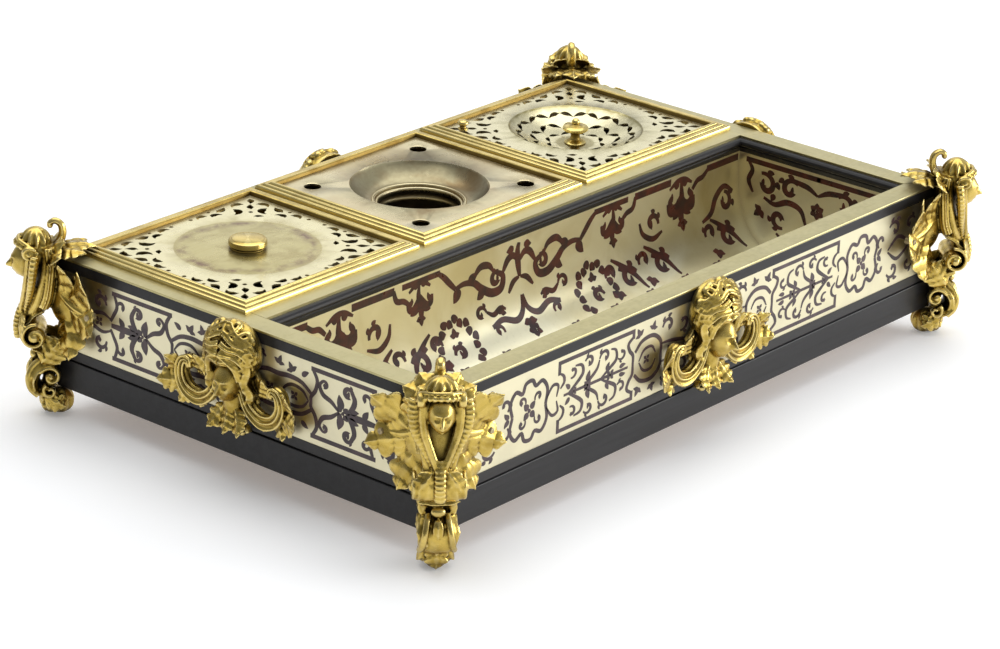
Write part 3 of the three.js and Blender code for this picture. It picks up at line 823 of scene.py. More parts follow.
class Inlay:
    """Ribbons, scrolls and leaves drawn in two coordinates, to be let into a face."""

    def __init__(self) -> None:
        """Start with a clean sheet."""
        self.strokes: list[tuple[np.ndarray, np.ndarray]] = []

    def strip(self, points: Sequence[Sequence[float]], width: float = 1.9) -> None:
        """A straight-sided strip with square corners.

        Args:
            points: its corners.
            width: its full width.
        """
        p = np.array(points, float)
        for a, b in zip(p[:-1], p[1:]):
            reach = unit(b - a) * width / 2
            steps = max(2, int(np.linalg.norm(b - a) / 4))
            path = (a - reach) + np.linspace(0, 1, steps)[:, None] * (b - a + 2 * reach)
            self.strokes.append((path, np.full(steps, width / 2)))

    def stem(self, points: Sequence[Sequence[float]], width: float = 1.9, ends: float = 0.45, peak: float = 0.5) -> None:
        """A curved stem that swells and thins.

        Args:
            points: what it passes through.
            width: width at its fullest.
            ends: width at its ends, as a share of that.
            peak: where it is fullest, from nought to one.
        """
        length = np.linalg.norm(np.diff(np.array(points, float), axis=0), axis=1).sum()
        path = eased(points, max(8, int(length / 0.9)))
        t = np.linspace(0, 1, len(path)) ** (math.log(0.5) / math.log(peak))
        self.strokes.append((path, 0.5 * width * (ends + (1 - ends) * np.sin(np.pi * t))))

    def blob(self, at: Sequence[float], angle: float, length: float, width: float, lean: float = 0.0) -> None:
        """A leaf-shaped drop that starts at a point.

        Args:
            at: where it starts.
            angle: which way it points, in degrees.
            length: from start to tip.
            width: at its fullest.
            lean: how far it bends, in degrees.
        """
        t = np.linspace(0, 1, 12)
        turn = np.radians(angle + lean * t)
        step = np.stack([np.cos(turn), np.sin(turn)], axis=1) * length / 12
        path = np.array(at, float) + np.cumsum(step, axis=0) - step[0]
        self.strokes.append((path, 0.5 * width * np.maximum(np.sin(np.pi * t**0.7) ** 0.8, 0.02)))

    def curl(
        self, centre: Sequence[float], radius: float, start: float, sweep: float, width: float = 1.8, leaves: int = 1
    ) -> None:
        """A scroll that winds in to a round end, with leaves off its back.

        Args:
            centre: middle of the scroll.
            radius: radius where it starts.
            start: angle where it starts, in degrees.
            sweep: how far it turns, in degrees, positive or negative.
            width: width of its stem.
            leaves: how many leaves grow from its back.
        """
        path = volute(centre, radius, 0.28 * radius, start, start + sweep, 28)
        t = np.linspace(0, 1, 28)
        self.strokes.append((path, 0.5 * width * (0.55 + 0.45 * np.sin(np.pi * t) + 0.9 * t**8)))
        hand = 1 if sweep > 0 else -1
        self.blob(path[-1] - 0.3 * width, 0, 0.9 * width, 1.3 * width)
        for i in range(leaves):
            turn = start + sweep * (0.12 + 0.2 * i)
            edge = np.array(centre) + radius * 0.95 * np.array([math.cos(math.radians(turn)), math.sin(math.radians(turn))])
            self.blob(edge, turn + 50 * hand, 0.75 * radius, 0.42 * radius, 45 * hand)

    def spray(self, at: Sequence[float], angle: float, size: float) -> None:
        """Three leaves from one point.

        Args:
            at: the point.
            angle: which way the middle leaf points, in degrees.
            size: its length.
        """
        self.blob(at, angle, size, 0.5 * size)
        self.blob(at, angle - 42, 0.8 * size, 0.4 * size, -50)
        self.blob(at, angle + 42, 0.8 * size, 0.4 * size, 50)

    def rosette(self, at: Sequence[float], size: float, petals: int = 4) -> None:
        """A flower of separate petals round a seed.

        Args:
            at: its middle.
            size: its radius.
            petals: how many petals.
        """
        for k in range(petals):
            turn = 360 / petals * (k + 0.5)
            start = np.array(at) + 0.2 * size * np.array([math.cos(math.radians(turn)), math.sin(math.radians(turn))])
            self.blob(start, turn, 0.85 * size, 0.62 * size)
        self.blob(np.array(at) - [0.22 * size, 0], 0, 0.44 * size, 0.44 * size)

    def moved(self, middle: float | None = None, level: float | None = None, along: float = 0.0) -> "Inlay":
        """A copy, mirrored or shifted.

        Args:
            middle: first coordinate to mirror about, if any.
            level: second coordinate to mirror about, if any.
            along: how far to shift the first coordinate.

        Returns:
            The new drawing.
        """
        copy = Inlay()
        for path, half in self.strokes:
            p = path.copy()
            if middle is not None:
                p[:, 0] = 2 * middle - p[:, 0]
            if level is not None:
                p[:, 1] = 2 * level - p[:, 1]
            p[:, 0] += along
            copy.strokes.append((p, half))
        return copy

    def take(self, *others: "Inlay") -> None:
        """Add the strokes of other drawings."""
        for other in others:
            self.strokes += other.strokes

    def pressed(self, place: Place, proud: float = 0.08, sunk: float = 0.15, swell: float = 1.0) -> Clay:
        """Every stroke as a thin solid let into a surface.

        Args:
            place: takes first and second coordinate and height, and returns points.
            proud: how far the strokes stand over the surface.
            sunk: how far they go into it.
            swell: how much wider to make them.

        Returns:
            The shapes.
        """
        clay = Clay()
        for k, (path, half) in enumerate(self.strokes):
            ahead = unit(np.gradient(path, axis=0))
            side = np.stack([-ahead[:, 1], ahead[:, 0]], axis=1) * half[:, None] * swell
            left, right = path + side, path - side
            over, under = proud + 0.006 * (k % 5), -sunk
            corners = [(left, over), (right, over), (right, under), (left, under)]
            clay.loft(np.stack([place(p[:, 0], p[:, 1], np.full(len(p), h)) for p, h in corners], axis=1))
        return clay


@dataclass
class Marquetry:
    """The brass and shell faces of the case."""

    sizes: CaseSizes
    finishes: Finishes

    def long_side(self) -> Inlay:
        """The drawing of the front and the back.

        Returns:
            The drawing, from the left end, measured down from the rim.
        """
        half, mid = Inlay(), 25.5
        quarter = Inlay()
        quarter.strip([(80.5, 14), (80.5, 9.2), (132.5, 9.2), (132.5, 12)])
        quarter.stem([(80.5, 14), (83.5, 16), (84, 19), (81.5, 21.5)], 1.7)
        quarter.stem([(132.5, 12), (129, 14.5), (130, 18), (132.5, 21), (132.6, 25.5)], 1.9, 0.8)
        quarter.stem([(87, 25.5), (93, 22), (97, 18.5), (96, 14.5), (91.5, 13.5)], 2.0)
        quarter.curl((90, 16), 3.0, 120, -250, 1.6, 0)
        quarter.curl((101.5, 14.6), 3.4, 200, 270, 1.7, 1)
        quarter.curl((112.5, 15.4), 4.0, 180, 260, 1.7, 1)
        quarter.stem([(98, 25.2), (103, 22.5), (107, 19.5), (108.5, 15.8)], 1.8)
        quarter.stem([(110, 25.2), (116, 22), (120.5, 19), (120, 14.5), (116.5, 13)], 1.9)
        quarter.curl((124.5, 17.5), 3.2, 150, -260, 1.5, 1)
        quarter.blob((100, 23.5), -70, 5.6, 3.0)
        quarter.blob((88, 23.5), -120, 4.6, 2.4, -30)
        quarter.blob((113.5, 22.5), -60, 4.6, 2.4)
        quarter.blob((123, 24), -30, 5, 2.2, 40)
        quarter.stem([(49, 25.5), (47.5, 19), (51, 14.2), (55.5, 16.2), (57.5, 12.2), (62, 11.6), (64.5, 14.8), (69, 13.6), (72.5, 18.5), (71.5, 25.5)], 2.0, 0.9)
        quarter.curl((55.5, 20.3), 2.7, 30, -280, 1.5, 0)
        quarter.curl((66.5, 20.3), 2.7, 150, 280, 1.5, 0)
        quarter.stem([(72, 23.5), (76, 18.5), (80, 19.5), (79, 24.5)], 1.6)
        quarter.curl((44, 18.5), 3.6, 60, -250, 1.7, 1)
        quarter.blob((47, 25), 200, 5, 2.6, 40)
        quarter.curl((33, 15), 5.0, -20, -260, 2.0, 2)
        quarter.stem([(20, 25), (26, 21), (31, 20), (38, 25)], 2.0)
        quarter.curl((20, 15), 4.0, 200, 240, 1.7, 1)
        quarter.stem([(134, 20), (139, 15.8), (147, 15.2), (152.5, 19.5), (153, 25.5)], 2.1, 0.8)
        quarter.stem([(137, 25.2), (140.5, 20.6), (146, 20.2), (149, 24)], 1.5)
        quarter.spray((137.5, 13), -120, 5)
        quarter.spray((146.5, 12.2), -70, 4.6)
        quarter.curl((158, 13.5), 4.4, 180, 260, 1.9, 2)
        quarter.curl((169, 15), 4.2, 120, -260, 1.9, 1)
        quarter.stem([(153, 21), (160, 21.5), (168, 23), (176, 25.3)], 1.9)
        half.take(quarter, quarter.moved(level=mid))
        half.rosette((60.5, 25.5), 5.4)
        half.stem([(84, 25.5), (95, 25.5), (112, 25.5), (129, 25.5)], 1.5, 0.8)
        half.rosette((100.5, 25.5), 3.2)
        half.rosette((91, 25.5), 2.4)
        half.rosette((116.5, 25.5), 3.2)
        half.rosette((142.5, 25.5), 2.6)
        half.rosette((160, 25.5), 3.0)
        whole = Inlay()
        whole.take(half, half.moved(middle=185.0))
        return whole

    def short_side(self) -> Inlay:
        """The drawing of the left and right sides.

        Returns:
            The drawing, from the front, measured down from the rim.
        """
        quarter, mid = Inlay(), 25.0
        quarter.strip([(36.5, 9.2), (72.5, 9.2)], 2.1)
        quarter.stem([(37, 9.5), (38.6, 15), (36.5, 19.5), (34.4, 23)], 2.0, 0.8)
        quarter.stem([(72.5, 9.5), (70, 14), (71, 19), (73.5, 22.5), (73.6, 25)], 2.1, 0.8)
        quarter.stem([(53, 25), (49.5, 21.5), (48, 17), (50.5, 12.8)], 2.8, 0.5)
        quarter.curl((52, 15.2), 3.4, 190, 290, 2.3, 1)
        quarter.stem([(57, 25), (61.5, 21.5), (66.5, 19.5), (68.5, 15.5), (66, 12.8)], 2.4)
        quarter.curl((65.6, 15), 2.4, -30, -250, 1.7, 0)
        quarter.blob((55.5, 23.4), -75, 7.5, 4.2)
        quarter.blob((51, 24), 215, 6.5, 3.0, -30)
        quarter.curl((41.5, 14.5), 3.0, 150, 270, 1.8, 1)
        quarter.blob((43, 24), 235, 5.6, 3.2)
        quarter.stem([(52, 25), (46, 24.6), (40, 24.8), (35, 25)], 2.6, 0.8)
        quarter.stem([(73.6, 21), (79, 17.6), (86, 16.6), (93, 17.2), (100, 17.0), (108, 19)], 2.4, 0.7)
        quarter.stem([(75, 25), (79, 21), (86, 20.4), (92, 25)], 1.7)
        quarter.spray((84.5, 14), -60, 5.2)
        quarter.spray((93, 12.6), -110, 5)
        quarter.curl((104, 12.8), 3.6, 200, 250, 1.9, 1)
        quarter.blob((79, 14.5), -130, 5.4, 2.6, -30)
        quarter.curl((27.5, 15.5), 4.4, 10, -270, 2.1, 2)
        quarter.stem([(34.4, 22), (29, 20.4), (22, 22.4), (14, 25)], 2.0)
        quarter.curl((15, 14), 4.2, 190, 240, 1.9, 1)
        half = Inlay()
        half.take(quarter, quarter.moved(level=mid))
        half.rosette((55, 25), 4.4)
        half.rosette((83.5, 25), 2.7)
        half.rosette((98, 25), 3.0)
        half.rosette((27, 25), 2.8)
        whole = Inlay()
        whole.take(half, half.moved(middle=116.0))
        return whole

    def side_places(self) -> dict[str, Place]:
        """Where each side's drawing goes, for the four sides."""
        s = self.sizes
        x, y = s.half_length - s.panel_sunk, s.half_depth - s.panel_sunk
        return {
            "front": lambda u, v, h: np.stack([u - s.half_length, -y - h, s.rim - v], axis=1),
            "back": lambda u, v, h: np.stack([s.half_length - u, y + h, s.rim - v], axis=1),
            "left": lambda u, v, h: np.stack([-x - h, u - s.half_depth, s.rim - v], axis=1),
            "right": lambda u, v, h: np.stack([x + h, u - s.half_depth, s.rim - v], axis=1),
        }

    def build(self) -> None:
        """Inlay the four outer faces."""
        long_side, short_side = self.long_side(), self.short_side()
        for name, place in self.side_places().items():
            drawing = long_side if name in ("front", "back") else short_side
            mesh = drawing.pressed(place).mesh("shell_" + name)
            piece("shell_" + name, mesh, self.finishes.shell, "case")


@dataclass
class PenTray:
    """The coved pen tray, in brass with red shell."""

    sizes: CaseSizes
    finishes: Finishes
    skin: float = 1.5
    half_length: float = 173.5

    def section(self) -> np.ndarray:
        """Points across the tray's inner face, from behind the back bead down, over the floor and up.

        Returns:
            An array of y and z, every half millimetre or so.
        """
        s = self.sizes
        pull, bow = s.tray_floor + 0.5 * (s.bead_foot - s.tray_floor), s.cove_reach / 8
        corners = np.array(
            [
                (s.tray_back, s.bead_foot),
                (s.tray_back, pull),
                (s.tray_back - bow, s.tray_floor),
                (s.tray_back - s.cove_reach, s.tray_floor),
            ]
        )
        t = np.linspace(0, 1, 60)[:, None]
        cove = (
            (1 - t) ** 3 * corners[0]
            + 3 * t * (1 - t) ** 2 * corners[1]
            + 3 * t**2 * (1 - t) * corners[2]
            + t**3 * corners[3]
        )
        straight = np.stack([np.full(5, s.tray_back), np.linspace(76.8, 70.2, 5)], axis=1)
        half = np.vstack([straight, cove])
        middle = (s.tray_back + s.tray_front) / 2
        other = half[::-1].copy()
        other[:, 0] = 2 * middle - other[:, 0]
        floor = np.stack([np.linspace(half[-1, 0], other[0, 0], 12)[1:-1], np.full(10, s.tray_floor)], axis=1)
        return np.vstack([half, floor, other])

    def lining(self) -> Clay:
        """The brass lining, a folded sheet with a smooth cove."""
        line = self.section()
        ahead = unit(np.gradient(line, axis=0))
        out = np.stack([ahead[:, 1], -ahead[:, 0]], axis=1)
        ring = np.vstack([line, (line - out * self.skin)[::-1]])
        clay = Clay()
        xs = np.linspace(-self.half_length, self.half_length, 30)
        clay.loft(np.array([np.column_stack([np.full(len(ring), x), ring]) for x in xs]))
        return clay

    def inner(self) -> Place:
        """Where the cove's drawing goes: along the case, and down the back wall from the bead."""
        line = self.section()[5:]
        run = np.concatenate([[0], np.cumsum(np.linalg.norm(np.diff(line, axis=0), axis=1))])
        ahead = unit(np.gradient(line, axis=0))
        half = self.sizes.half_length

        def place(u: np.ndarray, v: np.ndarray, h: np.ndarray) -> np.ndarray:
            """Points on the cove, for how far along, how far down and how high over it."""
            y, z = np.interp(v, run, line[:, 0]), np.interp(v, run, line[:, 1])
            ay, az = np.interp(v, run, ahead[:, 0]), np.interp(v, run, ahead[:, 1])
            return np.stack([u - half, y + az * h, z - ay * h], axis=1)

        return place

    def drawing(self) -> Inlay:
        """The arabesques of the long walls and the floor, down to the middle of the floor.

        Returns:
            The drawing for the back half of the tray.
        """
        half = Inlay()
        half.strip([(13.5, 3.2), (37, 3.2)], 2.6)
        half.stem([(37, 3.2), (41.5, 6.5), (46, 7.4), (50, 11)], 2.2, 0.7)
        half.strip([(69, 3.2), (95, 3.2)], 2.8)
        half.stem([(96, 3.2), (98, 8.5), (103, 10), (107, 13)], 2.2, 0.7)
        half.strip([(103, 3), (127, 3)], 2.2)
        half.stem([(127, 3), (131, 6), (134.5, 9.5), (139, 14)], 2.4, 0.7)
        for x, size in ((59.5, 1.0), (114, 0.82)):
            half.stem([(x - 9 * size, 7), (x - 3 * size, 4), (x + 3 * size, 4), (x + 9 * size, 7)], 2.2)
            half.stem([(x, 3), (x - 0.8, 12 * size), (x + 0.6, 20 * size), (x, 29 * size)], 3.6 * size, 0.3, 0.6)
            for hand in (-1, 1):
                half.curl((x + 6.5 * hand * size, 13.5), 4.6 * size, 90 + 90 * hand, -255 * hand, 2.6 * size, 2)
                half.stem([(x, 12 * size), (x + 4.6 * hand * size, 18.5 * size), (x + 9 * hand * size, 19 * size), (x + 10.5 * hand * size, 14 * size)], 3.0 * size)
                half.blob((x + 1.5 * hand * size, 17 * size), 90 - 28 * hand, 9 * size, 3.8 * size, -30 * hand)
                half.blob((x + 1.5 * hand * size, 7 * size), -90 + 52 * hand, 5.5 * size, 3.0 * size, 30 * hand)
            half.spray((x, 25 * size), 90, 6 * size)
        half.stem([(139, 14), (145, 13), (152, 14.5), (157, 18.5), (164, 22.5), (171, 22), (173, 16.5), (168.5, 13.5)], 3.2, 0.55, 0.6)
        half.curl((167.8, 16.8), 4.2, -60, -270, 2.3, 1)
        half.blob((141, 14), 100, 8.5, 4.0, 40)
        half.blob((149, 14), -60, 7.5, 3.6, 60)
        half.stem([(152, 12), (157, 8), (163, 8.8), (166, 12)], 2.8)
        half.blob((158, 19.5), 120, 6.5, 3.4, 40)
        half.stem([(173, 15), (177, 9.5), (181, 8.6), (184.5, 12)], 2.8)
        half.stem([(176, 26), (180, 21.5), (184.5, 20)], 2.2)
        half.curl((154.5, 30.5), 4.0, 0, -290, 1.7, 1)
        half.stem([(158.5, 30.5), (163, 33), (168.5, 31), (172, 32.5)], 2.0)
        half.curl((163.5, 41.2), 3.2, 30, -280, 1.6, 0)
        half.stem([(160, 38.6), (168, 36.8), (177, 39.6), (183, 36), (185, 29)], 2.4, 0.7)
        half.spray((168, 34), -60, 5)
        for k in range(15):
            turn = math.radians(150 + 240 * k / 14)
            x, y = 134 + 13 * math.cos(turn), 42 + 14 * math.sin(turn)
            half.blob((x, y), math.degrees(turn) + (70 if k % 2 else 120), 5.2, 3.4, 35)
        half.curl((134, 44), 4.2, 180, 300, 2.2, 2)
        half.spray((134, 36), -90, 5)
        for x in (28, 82, 108):
            half.curl((x, 42), 6.6, 200, 280, 2.6, 2)
            half.curl((x + 12, 36), 4.6, 20, -260, 2.1, 1)
            half.stem([(x - 8, 50), (x - 4, 41), (x + 4, 34), (x + 10, 30)], 2.4)
            half.spray((x + 12, 46), 60, 6)
        half.stem([(17, 20), (24, 16), (31, 20), (36, 27), (44, 30)], 2.6)
        half.curl((24, 24), 5.4, -90, -290, 2.3, 2)
        half.curl((83, 20), 5.0, 160, 270, 2.2, 2)
        half.stem([(76, 26), (84, 28), (91, 24), (93, 18)], 2.2)
        for x in (40, 66, 94, 122, 152):
            half.curl((x, 62), 7.2, 90, 300, 2.8, 2)
            half.curl((x + 13, 66), 5.0, 270, -280, 2.3, 1)
            half.stem([(x - 4, 70), (x + 4, 73), (x + 11, 71), (x + 17, 66)], 2.2)
            half.spray((x + 6, 55), -40, 6)
        half.strip([(14, 78.5), (185, 78.5)], 1.6)
        whole = Inlay()
        whole.take(half, half.moved(middle=185.0))
        whole.spray((185, 41), 90, 7)
        whole.rosette((185, 47), 4.4, 5)
        whole.stem([(185, 3), (184, 8), (185, 20)], 3.0, 0.5)
        whole.blob((181, 4), 140, 6, 3, 40)
        whole.blob((189, 4), 40, 6, 3, -40)
        return whole

    def end_drawing(self) -> Inlay:
        """The scroll panel of each end of the tray, from the middle of the tray and down from the bead."""
        half = Inlay()
        half.strip([(0, 3.2), (44, 3.2)], 2.2)
        half.stem([(44, 3.4), (41, 8), (43, 14), (40, 20)], 2.2)
        half.curl((32, 14), 6.4, -60, -300, 2.6, 3)
        half.curl((17, 13), 6.0, 220, 290, 2.5, 2)
        half.stem([(0, 12), (6, 9), (12, 8), (17, 7)], 2.4)
        half.stem([(6, 30), (10, 22), (18, 20), (26, 23), (33, 21)], 2.6)
        half.curl((23, 30), 5.2, 120, -290, 2.4, 2)
        half.curl((9, 37), 5.0, 30, 280, 2.2, 2)
        half.spray((34, 28), 40, 6.5)
        half.stem([(0, 44), (8, 46), (17, 43), (24, 38)], 2.2)
        whole = Inlay()
        whole.take(half, half.moved(middle=0.0))
        whole.rosette((0, 20), 4.6, 6)
        whole.spray((0, 28), 90, 7)
        return whole

    def build(self) -> None:
        """Make the lining and its inlays."""
        s = self.sizes
        mesh = self.lining().mesh("tray_lining")
        piece("tray_lining", mesh, self.finishes.tray_ground, "case", ["tray_trough"])
        place, total = self.inner(), 0.0
        line = self.section()[5:-5]
        total = float(np.linalg.norm(np.diff(line, axis=0), axis=1).sum())
        back = self.drawing()
        back.take(back.moved(level=total / 2))
        piece("tray_shell", back.pressed(place, swell=1.35).mesh("tray_shell"), self.finishes.red_shell, "case")
        middle = (s.tray_back + s.tray_front) / 2
        ends = Clay()
        drawing = self.end_drawing()
        for hand in (-1, 1):
            x = hand * self.half_length
            shapes = drawing.pressed(
                lambda u, v, h, x=x, hand=hand: np.stack([x - hand * h, middle + u, s.bead_foot - v], axis=1), swell=1.25
            )
            ends.merge(shapes, lambda p: p)
        piece("tray_end_shell", ends.mesh("tray_end_shell"), self.finishes.red_shell, "case")


def dress_case(finishes: Finishes) -> None:
    """Give every case node that stays its finish, and soften the edges of the plinths, bands and rims.

    Args:
        finishes: the finishes.
    """
    sides = ("front", "right", "back", "left")
    finish_of: dict[str, bpy.types.Material] = {"base_board": finishes.oak, "tray_divider": finishes.oak}
    for side in sides:
        finish_of |= {
            "plinth_" + side: finishes.ebony,
            "fillet_" + side: finishes.ebony,
            "band_" + side: finishes.ebony,
            "tray_bead_" + side: finishes.ebony,
            "panel_" + side: finishes.ground,
            "wall_" + side: finishes.oak,
            "rim_" + side: finishes.rim,
        }
    for side in ("left", "right"):
        finish_of |= {
            "partition_" + side: finishes.oak,
            "deck_strip_" + side: finishes.rim,
            "tray_end_" + side: finishes.tray_ground,
        }
    finish_of |= {"deck_rail": finishes.rim, "left_pot": finishes.pot, "middle_pot": finishes.pot, "right_box": finishes.pot}
    for name, finish in finish_of.items():
        node = frame["nodes"][name]
        node.data.materials.clear()
        node.data.materials.append(finish)
        if name.startswith(("plinth", "band", "rim")):
            weld = node.modifiers.new("weld", "WELD")
            weld.merge_threshold = 1e-6
            bevel = node.modifiers.new("bevel", "BEVEL")
            bevel.width, bevel.segments, bevel.limit_method = 0.0003, 2, "ANGLE"
    LOG.info("case: %d nodes dressed", len(finish_of))


class Hole(Enum):
    """The shapes pierced in the plates."""

    COMMA = "comma"
    DROP = "drop"
    SLIT = "slit"
    DOT = "dot"


@dataclass
class Piercing:
    """One pierced hole: its shape, place, way round and size."""

    shape: Hole
    x: float
    y: float
    angle: float
    size: float = 6.0
    hand: int = 1

    def outline(self) -> np.ndarray:
        """Its closed outline.

        Returns:
            Points in order round the hole.
        """
        if self.shape is Hole.DOT:
            turn = np.linspace(0, 2 * np.pi, 14, endpoint=False)
            return np.stack([self.x + self.size / 2 * np.cos(turn), self.y + self.size / 2 * np.sin(turn)], axis=1)
        bend, fat = {
            Hole.COMMA: (130.0, 0.46),
            Hole.DROP: (35.0, 0.54),
            Hole.SLIT: (60.0, 0.36),
        }[self.shape]
        n = 11
        t = np.linspace(0, 1, n)
        turn = np.radians(self.angle + self.hand * bend * (t - 0.4))
        step = np.stack([np.cos(turn), np.sin(turn)], axis=1) * self.size / (n - 1)
        path = np.cumsum(step, axis=0) - step[0]
        path += np.array([self.x, self.y]) - path.mean(axis=0)
        half = 0.5 * fat * self.size * np.clip(np.sin(np.pi * np.clip(t + 0.06, 0, 1) ** 1.6), 0.1, 1) ** 0.75
        side = np.stack([-np.sin(turn), np.cos(turn)], axis=1) * half[:, None]
        return np.vstack([path + side, (path - side)[::-1]])


def pierced(
    half: Sequence[float],
    holes: Sequence[np.ndarray],
    extra: np.ndarray,
    over: Callable[[np.ndarray], np.ndarray],
    under: Callable[[np.ndarray], np.ndarray],
    centre: Sequence[float],
) -> Clay:
    """A plate with holes cut through it, raised or sunk as asked.

    Args:
        half: half length and half depth of the plate.
        holes: outlines of the holes.
        extra: more points inside the metal, where the plate curves.
        over: takes points and returns the height of the upper face.
        under: takes points and returns the height of the lower face.
        centre: where the plate's middle stands.

    Returns:
        The plate, as one closed shape.
    """
    ex, ey = np.linspace(-half[0], half[0], 25), np.linspace(-half[1], half[1], 23)
    edge = np.vstack(
        [
            np.column_stack([ex[:-1], np.full(24, -half[1])]),
            np.column_stack([np.full(22, half[0]), ey[:-1]]),
            np.column_stack([ex[:0:-1], np.full(24, half[1])]),
            np.column_stack([np.full(22, -half[0]), ey[:0:-1]]),
        ]
    )
    loops = [edge, *holes]
    points, links, count = [], [], 0
    for loop in loops:
        k = len(loop)
        points.append(loop)
        links += [(count + i, count + (i + 1) % k) for i in range(k)]
        count += k
    points.append(extra)
    flat = np.vstack(points)
    made = delaunay_2d_cdt([Vector(p) for p in flat.tolist()], links, [], 0, 1e-5)
    spots = np.array([tuple(v) for v in made[0]])
    triangles = np.array([f for f in made[2]])
    middle = spots[triangles].mean(axis=1)
    keep = np.ones(len(triangles), bool)
    for hole in holes:
        near = keep & (np.abs(middle - hole.mean(axis=0)).max(axis=1) < np.ptp(hole, axis=0).max() + 1)
        at = middle[near]
        a, b = hole, np.roll(hole, -1, axis=0)
        up = (a[None, :, 1] > at[:, 1:2]) != (b[None, :, 1] > at[:, 1:2])
        slope = (b[:, 0] - a[:, 0]) / np.where(b[:, 1] == a[:, 1], 1e-9, b[:, 1] - a[:, 1])
        cross = a[None, :, 0] + slope[None] * (at[:, 1:2] - a[None, :, 1])
        inside = (up & (at[:, 0:1] < cross)).sum(axis=1) % 2 == 1
        keep[np.flatnonzero(near)[inside]] = False
    triangles = triangles[keep]
    used, again = np.unique(triangles, return_inverse=True)
    triangles, spots = again.reshape(triangles.shape), spots[used]
    m = len(spots)
    upper = np.column_stack([spots, over(spots)])
    lower = np.column_stack([spots, under(spots)])
    rims = {(int(t[i]), int(t[(i + 1) % 3])) for t in triangles for i in range(3)}
    walls = [(a, b, b + m, a + m) for a, b in rims if (b, a) not in rims]
    clay = Clay()
    faces = [tuple(t) for t in triangles] + [tuple(t[::-1] + m) for t in triangles] + walls
    clay.add(np.vstack([upper, lower]) + np.asarray(centre, float), faces)
    return clay


def four_ways(quarter: Sequence[Piercing]) -> list[np.ndarray]:
    """The outlines of holes repeated in all four corners.

    Args:
        quarter: the holes of the corner where both coordinates are positive.

    Returns:
        Every outline.
    """
    made = []
    for sx in (1, -1):
        for sy in (1, -1):
            made += [hole.outline() * [sx, sy] for hole in quarter]
    return made


@dataclass
class UnitSizes:
    """Sizes that the three lift-out units share."""

    pitch: float = 119.2
    middle: float = 58.75
    half_length: float = 57.8
    half_depth: float = 54.25
    frame: float = 7.2
    plate_half: tuple[float, float] = (50.3, 46.75)
    plate_top: float = 1.3
    ledge: float = 0.5
    deck: float = 78.0
    bowl: float = 33.95
    bowl_depth: float = 8.0
    neck: float = 20.0
    seat: float = 9.5
    skirt: float = 2.0
    drop: float = 9.0


@dataclass
class Unit:
    """One lift-out unit: its reeded frame, and what it carries."""

    name: str
    place: int
    sizes: UnitSizes
    finishes: Finishes
    body: str

    @property
    def centre(self) -> tuple[float, float, float]:
        """The middle of the unit, level with the rim."""
        return (self.place * self.sizes.pitch, self.sizes.middle, self.sizes.deck)

    def frame(self) -> None:
        """Make the mitred frame of three reeds, with the ledge and the skirt."""
        s = self.sizes
        outline = [(0.0, 0.0), (0.0, 0.9)]
        step = s.frame / 3
        for reed, crest in enumerate((2.05, 2.75, 3.5)):
            x0 = reed * step
            outline += [
                (x0 + step * (0.5 - 0.44 * math.cos(a)), crest - 1.0 + 1.0 * math.sin(a) ** 0.8)
                for a in np.linspace(0.12, math.pi - (0.12 if reed == 2 else 0.5), 8)
            ]
        far = s.seat + s.skirt
        outline += [(s.frame, 2.4), (s.frame, s.ledge), (far, s.ledge), (far, -s.drop), (s.seat, -s.drop), (s.seat, 0.0)]
        clay = Clay()
        clay.mitred(outline, self.centre, (s.half_length, s.half_depth))
        name = self.name + "_moulding"
        piece(name, clay.mesh(name, crease=50), self.finishes.reeded, self.body, [self.name + "_frame"])

    def plate_quarter(self) -> list[Piercing]:
        """The piercings between the disc and the edge of a plate, for one corner."""
        c, d = Hole.COMMA, Hole.DROP
        dot = Hole.DOT
        return [
            Piercing(d, 44.6, 41.2, 43, 6.4, 1),
            Piercing(d, 39.2, 36.0, 223, 6.2, 1),
            Piercing(c, 45.4, 33.4, 80, 8.2, 1),
            Piercing(c, 36.0, 42.2, 10, 8.2, -1),
            Piercing(c, 39.4, 27.6, 60, 9.2, -1),
            Piercing(c, 29.6, 35.8, 30, 9.2, 1),
            Piercing(d, 45.4, 23.6, 250, 7.4, 1),
            Piercing(d, 26.0, 42.6, 200, 7.4, -1),
            Piercing(c, 40.8, 17.6, 300, 7.2, -1),
            Piercing(c, 19.4, 39.4, 150, 7.2, 1),
            Piercing(c, 45.2, 11.6, 70, 7.4, 1),
            Piercing(c, 12.4, 42.4, 20, 7.4, -1),
            Piercing(d, 33.0, 24.6, 130, 5.0, 1),
            Piercing(dot, 34.2, 31.0, 0, 2.2),
            Piercing(dot, 46.8, 17.6, 0, 1.9),
            Piercing(dot, 19.4, 44.4, 0, 1.8),
            Piercing(dot, 46.4, 5.0, 0, 2.1),
            Piercing(dot, 6.4, 43.2, 0, 2.1),
        ]


